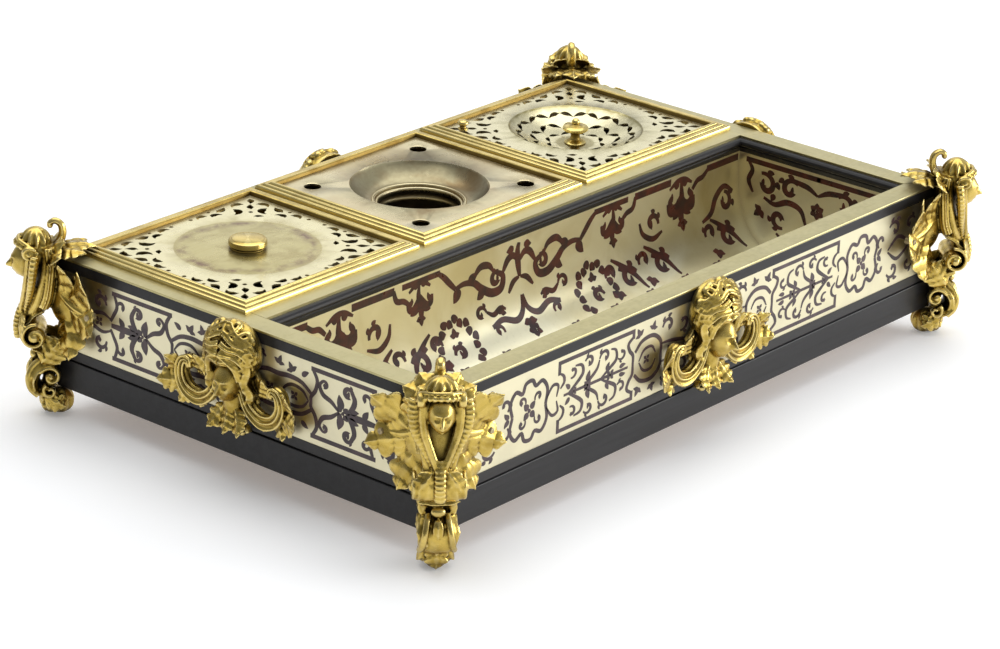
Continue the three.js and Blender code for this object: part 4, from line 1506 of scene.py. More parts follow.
@dataclass
class InkUnit(Unit):
    """The ink pot's unit: a pierced flat cover with a turned knob."""

    knob_radius: float = 9.0

    def build(self) -> None:
        """Make the frame, the cover and the knob."""
        s = self.sizes
        self.frame()
        turns = np.linspace(0, 2 * np.pi, 60, endpoint=False)
        extra = np.vstack([r * np.stack([np.cos(turns), np.sin(turns)], axis=1) for r in (32.4, 33.0, 33.8, 34.4)])

        def over(p: np.ndarray) -> np.ndarray:
            """Height of the upper face, with a fine ring round the plain disc."""
            return s.plate_top - 0.18 * np.exp(-(((np.hypot(p[:, 0], p[:, 1]) - 33.4) / 0.35) ** 2))

        holes = four_ways(self.plate_quarter())
        cover = pierced(s.plate_half, holes, extra, over, lambda p: np.full(len(p), s.ledge + 0.02), self.centre)
        piece("left_pierced_cover", cover.mesh("left_pierced_cover"), self.finishes.cover, "ink_cover", ["left_cover"])
        r, base = self.knob_radius, s.plate_top
        profile = [(0, 0), (7.8, 0), (8.1, 0.25), (8.1, 0.6), (7.5, 0.85), (7.4, 1.15), (8.2, 1.35), (8.75, 1.5), (r, 1.8)]
        profile += [(r, 3.7), (r - 0.12, 4.0), (r - 0.5, 4.3), (r - 0.9, 4.42), (r - 1.2, 4.36), (r - 1.5, 4.5), (r - 2.2, 4.68), (0, 4.72)]
        knob = Clay()
        knob.turned([(a, b + base) for a, b in profile], self.centre)
        piece("left_turned_knob", knob.mesh("left_turned_knob", crease=28), self.finishes.reeded, "ink_cover", ["left_knob"])


@dataclass
class QuillUnit(Unit):
    """The quill unit: a worn plate with a bowl, a ringed neck and four quill holes."""

    hole_radius: float = 4.2
    hole_inset: float = 12.0

    def bowl_height(self, r: np.ndarray) -> np.ndarray:
        """Height of the bowl's face at a radius."""
        s = self.sizes
        share = np.clip((s.bowl - r) / (s.bowl - s.neck - 3.4), 0, 1)
        lip = 0.28 * np.exp(-(((r - s.bowl - 0.2) / 0.5) ** 2))
        return s.plate_top - s.bowl_depth * np.sin(0.5 * np.pi * share) ** 0.95 + lip

    def build(self) -> None:
        """Make the frame, the plate with its bowl, and the ringed neck."""
        s = self.sizes
        self.frame()
        turns = np.linspace(0, 2 * np.pi, 72, endpoint=False)
        circle = np.stack([np.cos(turns), np.sin(turns)], axis=1)
        small = np.stack([np.cos(turns[::3]), np.sin(turns[::3])], axis=1)
        x, y = s.plate_half[0] - self.hole_inset, s.plate_half[1] - self.hole_inset
        quills = [small * self.hole_radius + [sx * x, sy * y] for sx in (-1, 1) for sy in (-1, 1)]
        mouth = circle * (s.neck + 1.7)
        extra = np.vstack([circle * r for r in (*np.linspace(22.6, 33.2, 14), 33.6, 34.0, 34.3, 34.8)])

        def over(p: np.ndarray) -> np.ndarray:
            """Height of the upper face, rounded down into each quill hole."""
            top = self.bowl_height(np.hypot(p[:, 0], p[:, 1]))
            near = np.min([np.hypot(p[:, 0] - q[:, 0].mean(), p[:, 1] - q[:, 1].mean()) for q in quills], axis=0)
            return top - 0.25 * (near < self.hole_radius + 0.05)

        def under(p: np.ndarray) -> np.ndarray:
            """Height of the lower face."""
            return np.minimum(over(p) - 1.0, s.ledge + 0.02)

        rings = [circle * 0 + q for q in ()]
        halo = np.vstack([small * (self.hole_radius + 0.5) + q.mean(axis=0) for q in quills])
        plate = pierced(s.plate_half, [mouth, *quills, *rings], np.vstack([extra, halo]), over, under, self.centre)
        piece("middle_bowl_plate", plate.mesh("middle_bowl_plate", crease=50), self.finishes.bowl, self.body, ["middle_plate"])
        z = s.plate_top - s.bowl_depth
        n = s.neck
        outline = [(n + 3.2, z - 1.0), (n + 3.2, z + 0.1), (n + 2.9, z + 0.5), (n + 2.4, z + 0.55), (n + 2.0, z + 0.2)]
        outline += [(n + 1.8, z - 0.9), (n + 1.3, z - 1.1), (n + 0.9, z - 0.8), (n + 0.3, z - 0.9), (n + 0.05, z - 1.5)]
        outline += [(n - 0.2, z - 3.2), (n + 0.15, z - 3.6), (n + 0.15, z - 5.4), (n - 0.2, z - 5.8), (n - 0.2, z - 7.0), (n + 1.2, z - 7.0), (n + 1.2, z - 1.4)]
        angle = np.linspace(0, 2 * np.pi, 72, endpoint=False)
        rings_of = [
            np.stack([[r * math.cos(a), r * math.sin(a), h] for r, h in outline]) + np.array(self.centre) for a in angle
        ]
        neck = Clay()
        neck.loft(np.array(rings_of), ring_shut=True)
        piece("middle_ringed_neck", neck.mesh("middle_ringed_neck", crease=60), self.finishes.bowl, self.body)


@dataclass
class PounceUnit(Unit):
    """The pounce unit: a pierced plate and dish, a spool knob and a small stud."""

    hub: float = 7.0

    def build(self) -> None:
        """Make the frame, the pierced dish, the spool and the stud."""
        s = self.sizes
        self.frame()
        turns = np.linspace(0, 2 * np.pi, 72, endpoint=False)
        circle = np.stack([np.cos(turns), np.sin(turns)], axis=1)
        holes = four_ways(self.plate_quarter())
        for count, radius, size, swing in ((12, 13.6, 6.6, 62), (18, 20.8, 7.6, 50), (26, 28.4, 7.2, 60)):
            for k in range(count):
                turn = 2 * math.pi * (k + 0.5 * (radius > 18)) / count
                hand = 1 if k % 2 else -1
                holes.append(
                    Piercing(
                        Hole.SLIT, radius * math.cos(turn), radius * math.sin(turn), math.degrees(turn) + swing * hand, size, hand
                    ).outline()
                )
        solid_rings = [circle * r for r in (3.0, 6.0, 9.0, 10.2, 32.9, 33.5, 34.0, 34.4)]
        between = [circle[::2] * r for r in (17.6, 24.8)]

        def over(p: np.ndarray) -> np.ndarray:
            """Height of the upper face."""
            r = np.hypot(p[:, 0], p[:, 1])
            share = np.clip((s.bowl - r) / (s.bowl - self.hub - 2), 0, 1)
            lip = 0.25 * np.exp(-(((r - s.bowl - 0.1) / 0.5) ** 2))
            return s.plate_top - s.bowl_depth * np.sin(0.5 * np.pi * share) + lip

        def under(p: np.ndarray) -> np.ndarray:
            """Height of the lower face."""
            return np.minimum(over(p) - 0.9, s.ledge + 0.02)

        extra = np.vstack([*solid_rings, *between])
        plate = pierced(s.plate_half, holes, extra, over, under, self.centre)
        piece("right_pierced_dish", plate.mesh("right_pierced_dish", crease=45), self.finishes.plate, "pounce_cover", ["right_dish"])
        z = s.plate_top - s.bowl_depth
        outline = [(0, 0), (5.2, 0), (5.4, 0.5), (4.6, 1.2), (3.0, 1.9), (2.4, 2.8), (2.3, 4.6), (2.9, 5.6), (4.3, 6.2), (6.0, 6.7)]
        outline += [(6.5, 7.3), (6.5, 8.2), (6.0, 8.8), (4.2, 9.2), (2.4, 9.5), (1.9, 10.0), (2.1, 10.8), (1.9, 11.8), (1.2, 12.6), (0, 12.9)]
        spool = Clay()
        spool.turned([(r, h + z) for r, h in outline], self.centre)
        piece("right_spool_knob", spool.mesh("right_spool_knob"), self.finishes.reeded, "pounce_cover", ["right_knob"])
        stud = Clay()
        outline = [(0, 0), (2.6, 0), (2.6, 0.4), (1.7, 0.9), (1.5, 1.5), (2.1, 2.1), (2.8, 2.9), (2.8, 3.5), (2.2, 4.3), (1.2, 4.7), (0, 4.8)]
        cx, cy, cz = self.centre
        at = (cx - s.plate_half[0] + 8, cy + s.plate_half[1] - 8, cz + s.plate_top)
        stud.turned(outline, at, 40)
        piece("right_small_stud", stud.mesh("right_small_stud"), self.finishes.reeded, "pounce_cover", ["right_stud"])


@dataclass
class Head:
    """A small cast head with a calm, plain face."""

    centre: np.ndarray
    out: np.ndarray
    up: np.ndarray
    size: float

    def axes(self) -> tuple[np.ndarray, np.ndarray, np.ndarray]:
        """The way it looks, its side and its crown, as unit vectors."""
        out = unit(self.out)
        side = unit(np.cross(self.up, out))
        return out, side, np.cross(out, side)

    def model(self, clay: Clay) -> None:
        """Model it: brow, eyes, nose, lips and chin on an egg.

        Args:
            clay: where it goes.
        """
        out, side, up = self.axes()
        lift = np.linspace(-1.48, 1.48, 54)[:, None]
        turn = np.linspace(-np.pi, np.pi, 72, endpoint=False)[None]

        def bump(x: float, z: float, wide: float, tall: float) -> np.ndarray:
            """A soft rise at a place on the face, the same on both sides."""
            return np.exp(-(((np.abs(turn) - x) / wide) ** 2) - (((lift - z) / tall) ** 2))

        face = np.exp(-((turn / 1.1) ** 4))
        ridge = np.exp(-((turn / 0.12) ** 2))
        nose = ridge * np.interp(lift, [-0.34, -0.28, -0.2, 0.1, 0.26], [0, 0.24, 0.27, 0.08, 0])
        shape = 1 + nose
        shape = shape + 0.07 * bump(0.3, 0.3, 0.26, 0.09) - 0.13 * bump(0.34, 0.12, 0.17, 0.12)
        shape = shape + 0.1 * bump(0.34, 0.12, 0.11, 0.065) + 0.05 * bump(0.55, -0.16, 0.22, 0.2)
        shape = shape + 0.09 * bump(0.0, -0.47, 0.2, 0.045) + 0.09 * bump(0.0, -0.6, 0.16, 0.05)
        shape = shape - 0.05 * bump(0.0, -0.535, 0.26, 0.025) + 0.1 * bump(0.0, -0.86, 0.24, 0.13)
        shape = shape + 0.06 * bump(0.12, -0.27, 0.07, 0.05)
        shape = 1 + 1.7 * (shape - 1) * face
        jaw = 1 - 0.26 * np.clip(-lift - 0.15, 0, 1.2)
        x = np.cos(lift) * np.cos(turn) * shape * (0.98 - 0.05 * np.abs(lift))
        y = np.cos(lift) * np.sin(turn) * shape * 0.8 * jaw
        z = np.sin(lift) * 1.16 + 0 * turn
        ring = x[..., None] * out + y[..., None] * side + z[..., None] * up
        clay.loft(self.centre + self.size * ring)

    def on(self, turn: float, lift: float, far: float = 1.0) -> np.ndarray:
        """A place on the head.

        Args:
            turn: how far round from the face, in degrees.
            lift: how far up from its middle, in degrees.
            far: distance from its middle, as a share of its size.

        Returns:
            The point.
        """
        out, side, up = self.axes()
        a, b = math.radians(turn), math.radians(lift)
        local = math.cos(b) * math.cos(a) * out + 0.86 * math.cos(b) * math.sin(a) * side + 1.14 * math.sin(b) * up
        return self.centre + self.size * far * local


def flat_path(points: np.ndarray, level: float, axes: tuple[int, int, int]) -> np.ndarray:
    """A flat run of points set in space.

    Args:
        points: rows of two coordinates.
        level: the third coordinate.
        axes: where the two and the third go.

    Returns:
        Rows of three coordinates.
    """
    made = np.zeros((len(points), 3))
    made[:, axes[0]], made[:, axes[1]], made[:, axes[2]] = points[:, 0], points[:, 1], level
    return made


@dataclass
class CornerMount:
    """A gilt corner mount: a veiled bust on two scrolls, with leaves on both faces and behind.

    It is modelled with +X out along the corner's diagonal, +Y across it and +Z up.
    """

    sizes: CaseSizes
    finishes: Finishes
    voxel: float = 0.4

    def bust(self, clay: Clay) -> None:
        """The head, its cap and hair roll, and the veil.

        Args:
            clay: where it goes.
        """
        head = Head(vec(13.8, 0, 75.4), vec(1, 0, -0.06), vec(0.06, 0, 1), 7.3)
        head.model(clay)
        clay.ball((9.6, 0, 84.4), (6.6, 6.8, 7.2), flutes=11, relief=0.13)
        clay.ball((7.2, 0, 78.5), (7.6, 8.2, 8.5))
        back = eased([(3.6, 0, 84), (2.8, 0, 76), (3.4, 0, 68), (4.6, 0, 60), (6.6, 0, 54.5)], 30)
        clay.tube(back, np.interp(np.linspace(0, 1, 30), [0, 0.4, 1], [9.6, 11.6, 9.4]), 3.8, vec(0, 1, 0), 44, reeds=16, relief=0.06)
        brim = eased([(8.5, -9.4, 79.4), (12.6, -8.2, 82.6), (17.2, -4.2, 84.2), (18.4, 0, 84.6), (17.2, 4.2, 84.2), (12.6, 8.2, 82.6), (8.5, 9.4, 79.4)], 44)
        bead = 1.25 + 0.3 * np.sin(np.linspace(0, 2 * np.pi * 13, 44))
        clay.tube(brim, bead, bead, vec(0, 0, 1))
        clay.tube(brim * [0.93, 1, 1] + [0.4, 0, 1.9], 1.0, 1.0, vec(0, 0, 1), sides=8)
        for hand in (-1, 1):
            curl = volute((12.4, 81.4), 3.4, 0.7, 150, -420)
            clay.tube(flat_path(curl, hand * 8.6, (0, 2, 1)), 1.9, 0.95, vec(0, 1, 0), sides=8)
            clay.ball((12.4, hand * 8.6, 81.4), (1.4, 2.5, 1.4))
            for k, (wide, deep) in enumerate(((7.0, 2.4), (10.4, 0.0))):
                fall = eased(
                    [
                        (9.5 + deep, hand * wide, 82 - k),
                        (10.4 + deep, hand * wide * 1.1, 75),
                        (11.4 + deep, hand * wide * 0.98, 67),
                        (12.6 + deep, hand * wide * 0.62, 59.5),
                        (13.8 + deep, hand * wide * 0.28, 53),
                        (13.6 + deep, hand * wide * 0.1, 47.5),
                    ],
                    70,
                )
                rib = 1 + 0.075 * k * np.sin(np.linspace(0, 2 * np.pi * 17, 70))
                taper = np.linspace(1, 0.62, 70) * (2.3 + 0.7 * k)
                clay.tube(fall, rib * taper, 0.72 * rib * taper, vec(0.25, 1, 0), 24, reeds=6, relief=0.09 * (1 - k))
        plait = eased([(15.0, 0, 55), (17.4, 0, 49.5), (18.6, 0, 43.5), (18.2, 0, 37.5)], 40)
        rib = 1 + 0.09 * np.sin(np.linspace(0, 2 * np.pi * 9, 40))
        clay.tube(plait, 2.5 * rib, 1.9 * rib, vec(0, 1, 0))
        body = eased([(4.5, 0, 82), (5.5, 0, 72), (7.4, 0, 64), (9.2, 0, 57), (11.4, 0, 50.5), (12.4, 0, 45)], 40)
        clay.tube(body, np.interp(np.linspace(0, 1, 40), [0, 0.3, 0.7, 1], [9, 10.5, 8.6, 5.2]), np.linspace(4.6, 2.6, 40), vec(0, 1, 0), 18)

    def scrolls(self, clay: Clay) -> None:
        """The two scrolls of the leg, the leaf at its waist and the toe.

        Args:
            clay: where it goes.
        """
        upper = np.vstack([[(6.4, 52.5), (10.6, 50.2)], volute((10.4, 41.2), 6.9, 1.6, 72, -500, 50)])
        strap = flat_path(eased(upper, 90), 0, (0, 2, 1))
        width = np.interp(np.linspace(0, 1, 90), [0, 0.12, 0.3, 0.45, 1], [6.4, 7.4, 8.6, 9.6, 11.4])
        clay.tube(strap, width, np.linspace(1.9, 1.0, 90), vec(0, 1, 0), 48, reeds=9, relief=0.07)
        for hand in (-1, 1):
            clay.leaf((14.6, hand * 2.6, 50.5), (0.35, hand * 0.75, -1), (1, 0.1 * hand, 0.3), 13, 8.5, curl=-0.6, lobes=3, notch=0.3, thick=1.8)
        clay.tube(flat_path(np.array([(10.4, 41.2), (10.4, 41.2)]) + [[0, 0], [0, 0.01]], 0, (0, 2, 1)), 1, 1, vec(0, 1, 0))
        for hand in (-1, 1):
            clay.ball((10.4, hand * 10.8, 41.2), (2.3, 2.2, 2.3))
            rim = flat_path(volute((10.4, 41.2), 6.6, 2.4, 100, -330, 40), hand * 10.6, (0, 2, 1))
            clay.tube(rim, 1.1, 0.9, vec(0, 1, 0), sides=8)
        waist = eased([(11.4, 34.6), (7.6, 32.2), (5.4, 28.6), (6.4, 25.2), (9.6, 22), (11.2, 17.6), (10.2, 13.2), (6.4, 10.2)], 70)
        wide = np.interp(np.linspace(0, 1, 70), [0, 0.28, 0.62, 1], [9.0, 6.2, 9.4, 6.4])
        clay.tube(flat_path(waist, 0, (0, 2, 1)), wide, np.interp(np.linspace(0, 1, 70), [0, 0.3, 0.7, 1], [1.8, 2.8, 2.6, 2.4]), vec(0, 1, 0), 26, reeds=7, relief=0.07)
        clay.tube(eased([(3.5, 0, 36), (2.0, 0, 28), (4.0, 0, 20), (4.5, 0, 12)], 24), 5.2, 3.0, vec(0, 1, 0))
        for hand in (-1, 1):
            back = flat_path(volute((3.2, 20.4), 5.4, 0.9, 20, 470, 44), hand * 6.8, (0, 2, 1))
            clay.tube(back, 1.9, np.linspace(1.35, 0.8, 44), vec(0, 1, 0), sides=10)
            clay.ball((3.2, hand * 7.2, 20.4), (1.6, 2.0, 1.6))
            inner = flat_path(volute((3.6, 12.8), 3.7, 0.8, 60, -330, 34), hand * 6.2, (0, 2, 1))
            clay.tube(inner, 1.7, np.linspace(1.2, 0.8, 34), vec(0, 1, 0), sides=10)
            front = flat_path(eased([(8.4, 27.5), (11.6, 24.5), (13.6, 19.5), (12.6, 14.4), (9, 11)], 40), hand * 6.4, (0, 2, 1))
            front[:, 1] *= np.linspace(0.62, 1.15, 40)
            clay.tube(front, 1.5, 1.5, vec(0, 1, 0), sides=10)
            clay.leaf((7.6, hand * 5.8, 26.5), (-0.72, 0.12 * hand, 1), (0.2, hand, 0.1), 17, 13.5, curl=0.25, lobes=4, notch=0.38, thick=1.8)
            clay.leaf((5, hand * 5.2, 30), (-1, 0.1 * hand, 0.1), (0.1, hand, 0.6), 9, 8, curl=0.4, lobes=3, thick=1.6)
            clay.leaf((6.5, hand * 4.6, 9.5), (-0.9, 0.3 * hand, -0.35), (0.2, hand, 0.5), 11.5, 8.6, curl=-0.35, lobes=3, thick=1.8)
        clay.ball((12.0, 0, 21.4), (2.6, 2.9, 5.2), flutes=8, relief=0.1)
        clay.ball((11.0, 0, 29.4), (2.0, 3.2, 2.4))
        clay.ball((-0.6, 0, 6.4), (6.4, 5.9, 6.5), flutes=9, relief=0.09)
        clay.ball((3.4, 0, 4.6), (4.0, 4.8, 4.6))
        clay.leaf((6.8, 0, 12.6), (0.1, 0, -1), (1, 0, 0.2), 12.6, 9.4, curl=-0.5, lobes=3, thick=1.9)
        for hand in (-1, 1):
            clay.leaf((5.2, hand * 3.4, 12), (-0.35, 0.5 * hand, -1), (0.6, hand, 0.2), 11, 8, curl=-0.5, lobes=3, thick=1.8)

    def crest(self, clay: Clay) -> None:
        """The hooked curl and the leaves behind the head.

        Args:
            clay: where it goes.
        """
        hook = eased([(4.5, 0, 78.5), (0.4, 0, 82.4), (-2.4, 0, 87.5), (-2.2, 0, 92.4), (0.6, 0, 94.6), (3.0, 0, 93.4), (2.8, 0, 91.6)], 46)
        clay.tube(hook, np.linspace(3.3, 1.5, 46), np.linspace(2.4, 1.3, 46), vec(0, 1, 0), 14, reeds=5, relief=0.08)
        clay.ball((3.0, 0, 92.2), (1.3, 1.7, 1.3))
        for hand in (-1, 1):
            clay.leaf((2.6, hand * 2.4, 79.5), (-0.55, 0.75 * hand, 1), (1, 0.2 * hand, 0.65), 12.5, 8.6, curl=-0.45, lobes=3, notch=0.25, thick=1.8)
            clay.leaf((2.6, hand * 5.2, 78.2), (-0.35, 1.15 * hand, 0.55), (1, 0.1 * hand, 0.9), 12.5, 8.2, curl=-0.45, lobes=3, notch=0.25, thick=1.8)
            clay.leaf((2.0, hand * 3.0, 79.0), (-1, 0.42 * hand, 0.34), (0.3, 0.1 * hand, 1), 17.5, 10.5, curl=-0.4, lobes=4, thick=1.7)
        clay.leaf((1.5, 0, 80.0), (-1, 0, 0.28), (0.25, 0, 1), 20, 12, curl=-0.45, lobes=4, thick=1.8)

    def wing(self, hand: int) -> Clay:
        """The leaves that lie along one face, with +X along the face and -Y out of it.

        Args:
            hand: 1 for the face towards +X, -1 for its mirror.

        Returns:
            The leaves.
        """
        clay = Clay()
        out, drop = -1.0, -2.3
        lobes = (
            ((10, 59), (0.9, 0.5), 27.0, 17.0, 0.85, 3),
            ((11, 56), (1.0, -0.16), 25.0, 15.0, 0.6, 3),
            ((9, 52), (0.45, -0.9), 22.0, 17.0, 0.45, 3),
            ((5, 60), (0.45, 1.0), 21.0, 13.0, 0.75, 3),
        )
        for k, ((x, z), (dx, dz), length, width, curl, count) in enumerate(lobes):
            bend = (0.3, -0.3, -0.3, 0.2)[k]
            clay.leaf(
                (hand * x, drop - 0.35 * (k % 2), z), (hand * dx, out * 0.1, dz), (0.0, out, 0.12),
                length, width, curl=curl, lobes=count, notch=0.4, thick=2.0, bend=bend * hand,
            )
        clay.ball((hand * 8, drop - 0.6, 57), (9.5, 3.0, 10.5))
        stem = eased([(hand * 6, drop - 1.8, 62), (hand * 16, drop - 2.6, 57.5), (hand * 27, drop - 2.4, 56)], 24)
        clay.tube(stem, np.linspace(1.9, 1.0, 24), np.linspace(1.6, 1.0, 24), vec(0, 0, 1))
        return clay

    def pins(self) -> Clay:
        """The dark pins that hold the leaves to the two faces."""
        clay = Clay()
        for far, near in ((26.5, -5.2), (-5.2, 26.5)):
            rings = []
            flat = 0 if far > near else 1
            for depth, r in ((-4.8, 1.6), (-0.2, 1.6), (0.4, 1.2), (0.55, 0.4)):
                turn = np.linspace(0, 2 * np.pi, 18, endpoint=False)
                ring = np.zeros((18, 3))
                ring[:, flat] = 26.5 + r * np.cos(turn)
                ring[:, 2] = 56 + r * np.sin(turn)
                ring[:, 1 - flat] = -7.2 - depth
                rings.append(ring)
            clay.loft(np.array(rings))
        return clay

    def build(self) -> None:
        """Cast one mount and set it on the four corners."""
        s, figure, whole = self.sizes, Clay(), Clay()
        self.bust(figure)
        self.scrolls(figure)
        self.crest(figure)
        angle = 1.25 * math.pi
        c, n = math.cos(angle), math.sin(angle)
        turn = np.array([[c, -n, 0], [n, c, 0], [0, 0, 1]])
        whole.merge(figure, lambda p: p @ turn.T)
        whole.merge(self.wing(1), lambda p: p)
        quarter = np.array([[0, 1, 0], [-1, 0, 0], [0, 0, 1]])
        whole.merge(self.wing(-1), lambda p: p @ quarter.T)
        cast = whole.fused("corner_mount", self.voxel, 0.4, soften=1)
        pin = self.pins().mesh("mount_pins")
        for turns, name in enumerate(("front_left", "front_right", "back_right", "back_left")):
            x = s.half_length * (-1 if turns in (0, 3) else 1)
            y = s.half_depth * (-1 if turns < 2 else 1)
            place = Matrix.Translation((x * MM, y * MM, 0)) @ Matrix.Rotation(turns * math.pi / 2, 4, "Z")
            for mesh, label, finish, nodes in (
                (cast, "cast_mount_", self.finishes.gilt, ["mount_" + name]),
                (pin, "mount_pins_", self.finishes.pot, []),
            ):
                copy = mesh.copy()
                copy.transform(place)
                piece(label + name, copy, finish, "case", nodes)


@dataclass
class SideMask:
    """A gilt mask in curled hair between two reeded scrolls, modelled to face -Y."""

    sizes: CaseSizes
    finishes: Finishes
    voxel: float = 0.4

    def hair(self, clay: Clay, head: Head) -> None:
        """Locks that spring from the crown and end in curls.

        Args:
            clay: where they go.
            head: not used.
        """
        middle, radii = vec(0.4, -2.6, 66.6), vec(14.6, 10.4, 13.6)
        clay.ball(middle, radii)

        def over(x: np.ndarray, z: np.ndarray, lift: float) -> np.ndarray:
            """Points a little over the hair's surface, for places seen from the front."""
            rest = np.clip(1 - (x / radii[0]) ** 2 - (z / radii[2]) ** 2, 0.03, 1)
            return np.stack([middle[0] + x, middle[1] - radii[1] * np.sqrt(rest) - lift, middle[2] + z], axis=1)

        for k in range(5):
            for hand in (-1, 1):
                t = np.linspace(0, 1, 36)
                drop = radii[2] * (0.9 - 0.27 * k - 0.7 * t**1.7) + 0.7 * np.sin(3 * np.pi * t + 1.4 * k)
                room = np.sqrt(np.clip(1 - (drop / radii[2]) ** 2, 0.12, 1))
                path = over(hand * radii[0] * room * (0.03 + 0.93 * np.sin(0.5 * np.pi * t)), drop, 0.9)
                clay.tube(path, 1.7, 1.75 * (1 - 0.3 * t), vec(0, -1, 0), 24, reeds=5, relief=0.24)
        curls = 13
        for k in range(curls):
            hand = 1 if k % 2 else -1
            turn = math.radians(-38 + 256 * (k + 0.5) / curls)
            heading = math.degrees(turn) + 180
            end = volute((0, 0), 2.7, 0.6, heading, heading + 400 * hand, 22)
            tip = over(
                radii[0] * 0.93 * math.cos(turn + 0.1 * hand) + end[:, 0],
                radii[2] * 0.93 * math.sin(turn + 0.1 * hand) + end[:, 1],
                1.2,
            )
            clay.tube(tip, 1.6, 1.1, vec(0, -1, 0), 8)
        for hand in (-1, 1):
            side = eased([(hand * 9.5, -9.5, 68), (hand * 12.2, -8, 61), (hand * 10.2, -8, 54.5), (hand * 12.4, -6, 48.5), (hand * 10, -5, 44.5)], 40)
            clay.tube(side, 2.6 + 0.3 * np.sin(np.linspace(0, 40, 40)), 2.3, vec(0, -1, 0), 14, reeds=5, relief=0.16)
            front = eased([(hand * 0.4, -13.4, 66.4), (hand * 4.6, -13.6, 65.4), (hand * 8.0, -11.6, 61.5), (hand * 9.2, -9.8, 56)], 30)
            clay.tube(front, 2.0, 1.6, vec(0, -1, 0), 12, reeds=5, relief=0.16)

    def scrolls(self, clay: Clay) -> None:
        """The reeded arms, their sprays and the pendant.

        Args:
            clay: where they go.
        """
        for hand in (-1, 1):
            arm = eased(
                [(10.4, 54.2), (8.2, 56.2), (7.2, 53.0), (8.6, 47.8), (12.6, 41.8), (19.5, 38.4), (27, 40.6), (30.6, 46.8), (29.4, 53.2), (25.6, 54.8), (24.4, 51.6)],
                90,
            )
            path = np.stack([hand * arm[:, 0], np.full(90, -4.6), arm[:, 1]], axis=1)
            wide = np.interp(np.linspace(0, 1, 90), [0, 0.2, 0.5, 0.85, 1], [1.1, 2.0, 3.3, 2.0, 1.1])
            clay.tube(path, 3.2, wide, vec(0, -1, 0), 40, reeds=8, relief=0.17)
            for rail in (-1.15, 1.15):
                edge = path + rail * (wide * 0.8)[:, None] * unit(np.cross(np.gradient(path, axis=0), vec(0, 1, 0))) + [0, -2.6, 0]
                clay.tube(edge, 0.75, 0.6, vec(0, -1, 0), 8)
            clay.ball((hand * 10.2, -5.6, 54.0), (1.7, 2.4, 1.7))
            clay.ball((hand * 25.2, -5.4, 51.8), (1.6, 2.2, 1.6))
            clay.leaf((hand * 28, -3.6, 42), (hand * 1, -0.2, 0.12), (0, -1, 0.1), 16, 11.5, curl=0.6, lobes=4, thick=1.9, bend=-0.3 * hand)
            clay.leaf((hand * 29, -3.4, 46), (hand * 0.75, -0.3, 0.8), (0, -1, 0.1), 14.5, 9.5, curl=0.7, lobes=4, thick=1.8)
            clay.leaf((hand * 27, -3.2, 41), (hand * 0.5, -0.1, -0.9), (0, -1, 0), 10.5, 8.0, curl=0.5, lobes=3, thick=1.7)
            clay.leaf((hand * 16, -3.0, 48), (hand * 0.45, -0.25, 1), (0, -1, 0.1), 13.5, 9.5, curl=0.5, lobes=4, thick=1.7)
            clay.leaf((hand * 20, -3.0, 40), (hand * -0.1, -0.1, -1), (0, -1, 0.1), 7.5, 7.0, curl=0.5, lobes=3, thick=1.6)
            clay.leaf((hand * 3.2, -4.6, 40.5), (hand * 0.5, -0.25, -1), (0, -1, 0.1), 15.5, 9.0, curl=0.75, lobes=4, thick=2.0)
            tail = volute((hand * 6.6, 29.8), 3.6, 0.8, 90 - 90 * hand, 90 - 90 * hand + 360 * hand, 26)
            clay.tube(np.stack([tail[:, 0], np.full(26, -4.4), tail[:, 1]], axis=1), 2.0, 1.1, vec(0, -1, 0), 10)
        clay.leaf((0, -5.8, 39.5), (0, -0.2, -1), (0, -1, 0.1), 13.0, 8.0, curl=0.55, lobes=4, thick=2.2)
        chest = eased([(0, -4.0, 48), (0, -4.6, 42), (0, -4.4, 37.5), (0, -3.6, 34)], 22)
        clay.tube(chest, np.linspace(6.4, 3.4, 22), np.linspace(4.2, 2.8, 22), vec(1, 0, 0), 20)
        for x in (-14, 14):
            clay.tube(eased([(x, -1.6, 57), (0.6 * x, -2.6, 50), (x * 0.75, -1.8, 43)], 18), 4.2, 1.9, vec(1, 0, 0), 12)

    def build(self) -> None:
        """Cast one mask and set it on the four sides."""
        s, clay = self.sizes, Clay()
        head = Head(vec(0.8, -7.2, 53.2), vec(0.12, -1, -0.16), vec(0.14, -0.14, 1), 8.8)
        head.model(clay)
        self.hair(clay, head)
        self.scrolls(clay)
        cast = clay.fused("side_mask", self.voxel, 0.4, soften=1)
        cut = np.zeros(len(cast.vertices) * 3)
        cast.vertices.foreach_get("co", cut)
        points = cut.reshape(-1, 3)
        points[:, 1] = np.minimum(points[:, 1], -0.75 * MM)
        cast.vertices.foreach_set("co", points.reshape(-1))
        for turns, name in enumerate(("front", "right", "back", "left")):
            far = (s.half_depth, s.half_length)[turns % 2] * MM
            place = Matrix.Rotation(turns * math.pi / 2, 4, "Z") @ Matrix.Translation((0, -far, 0))
            copy = cast.copy()
            copy.transform(place)
            piece("cast_mask_" + name, copy, self.finishes.gilt, "case", ["mask_" + name])


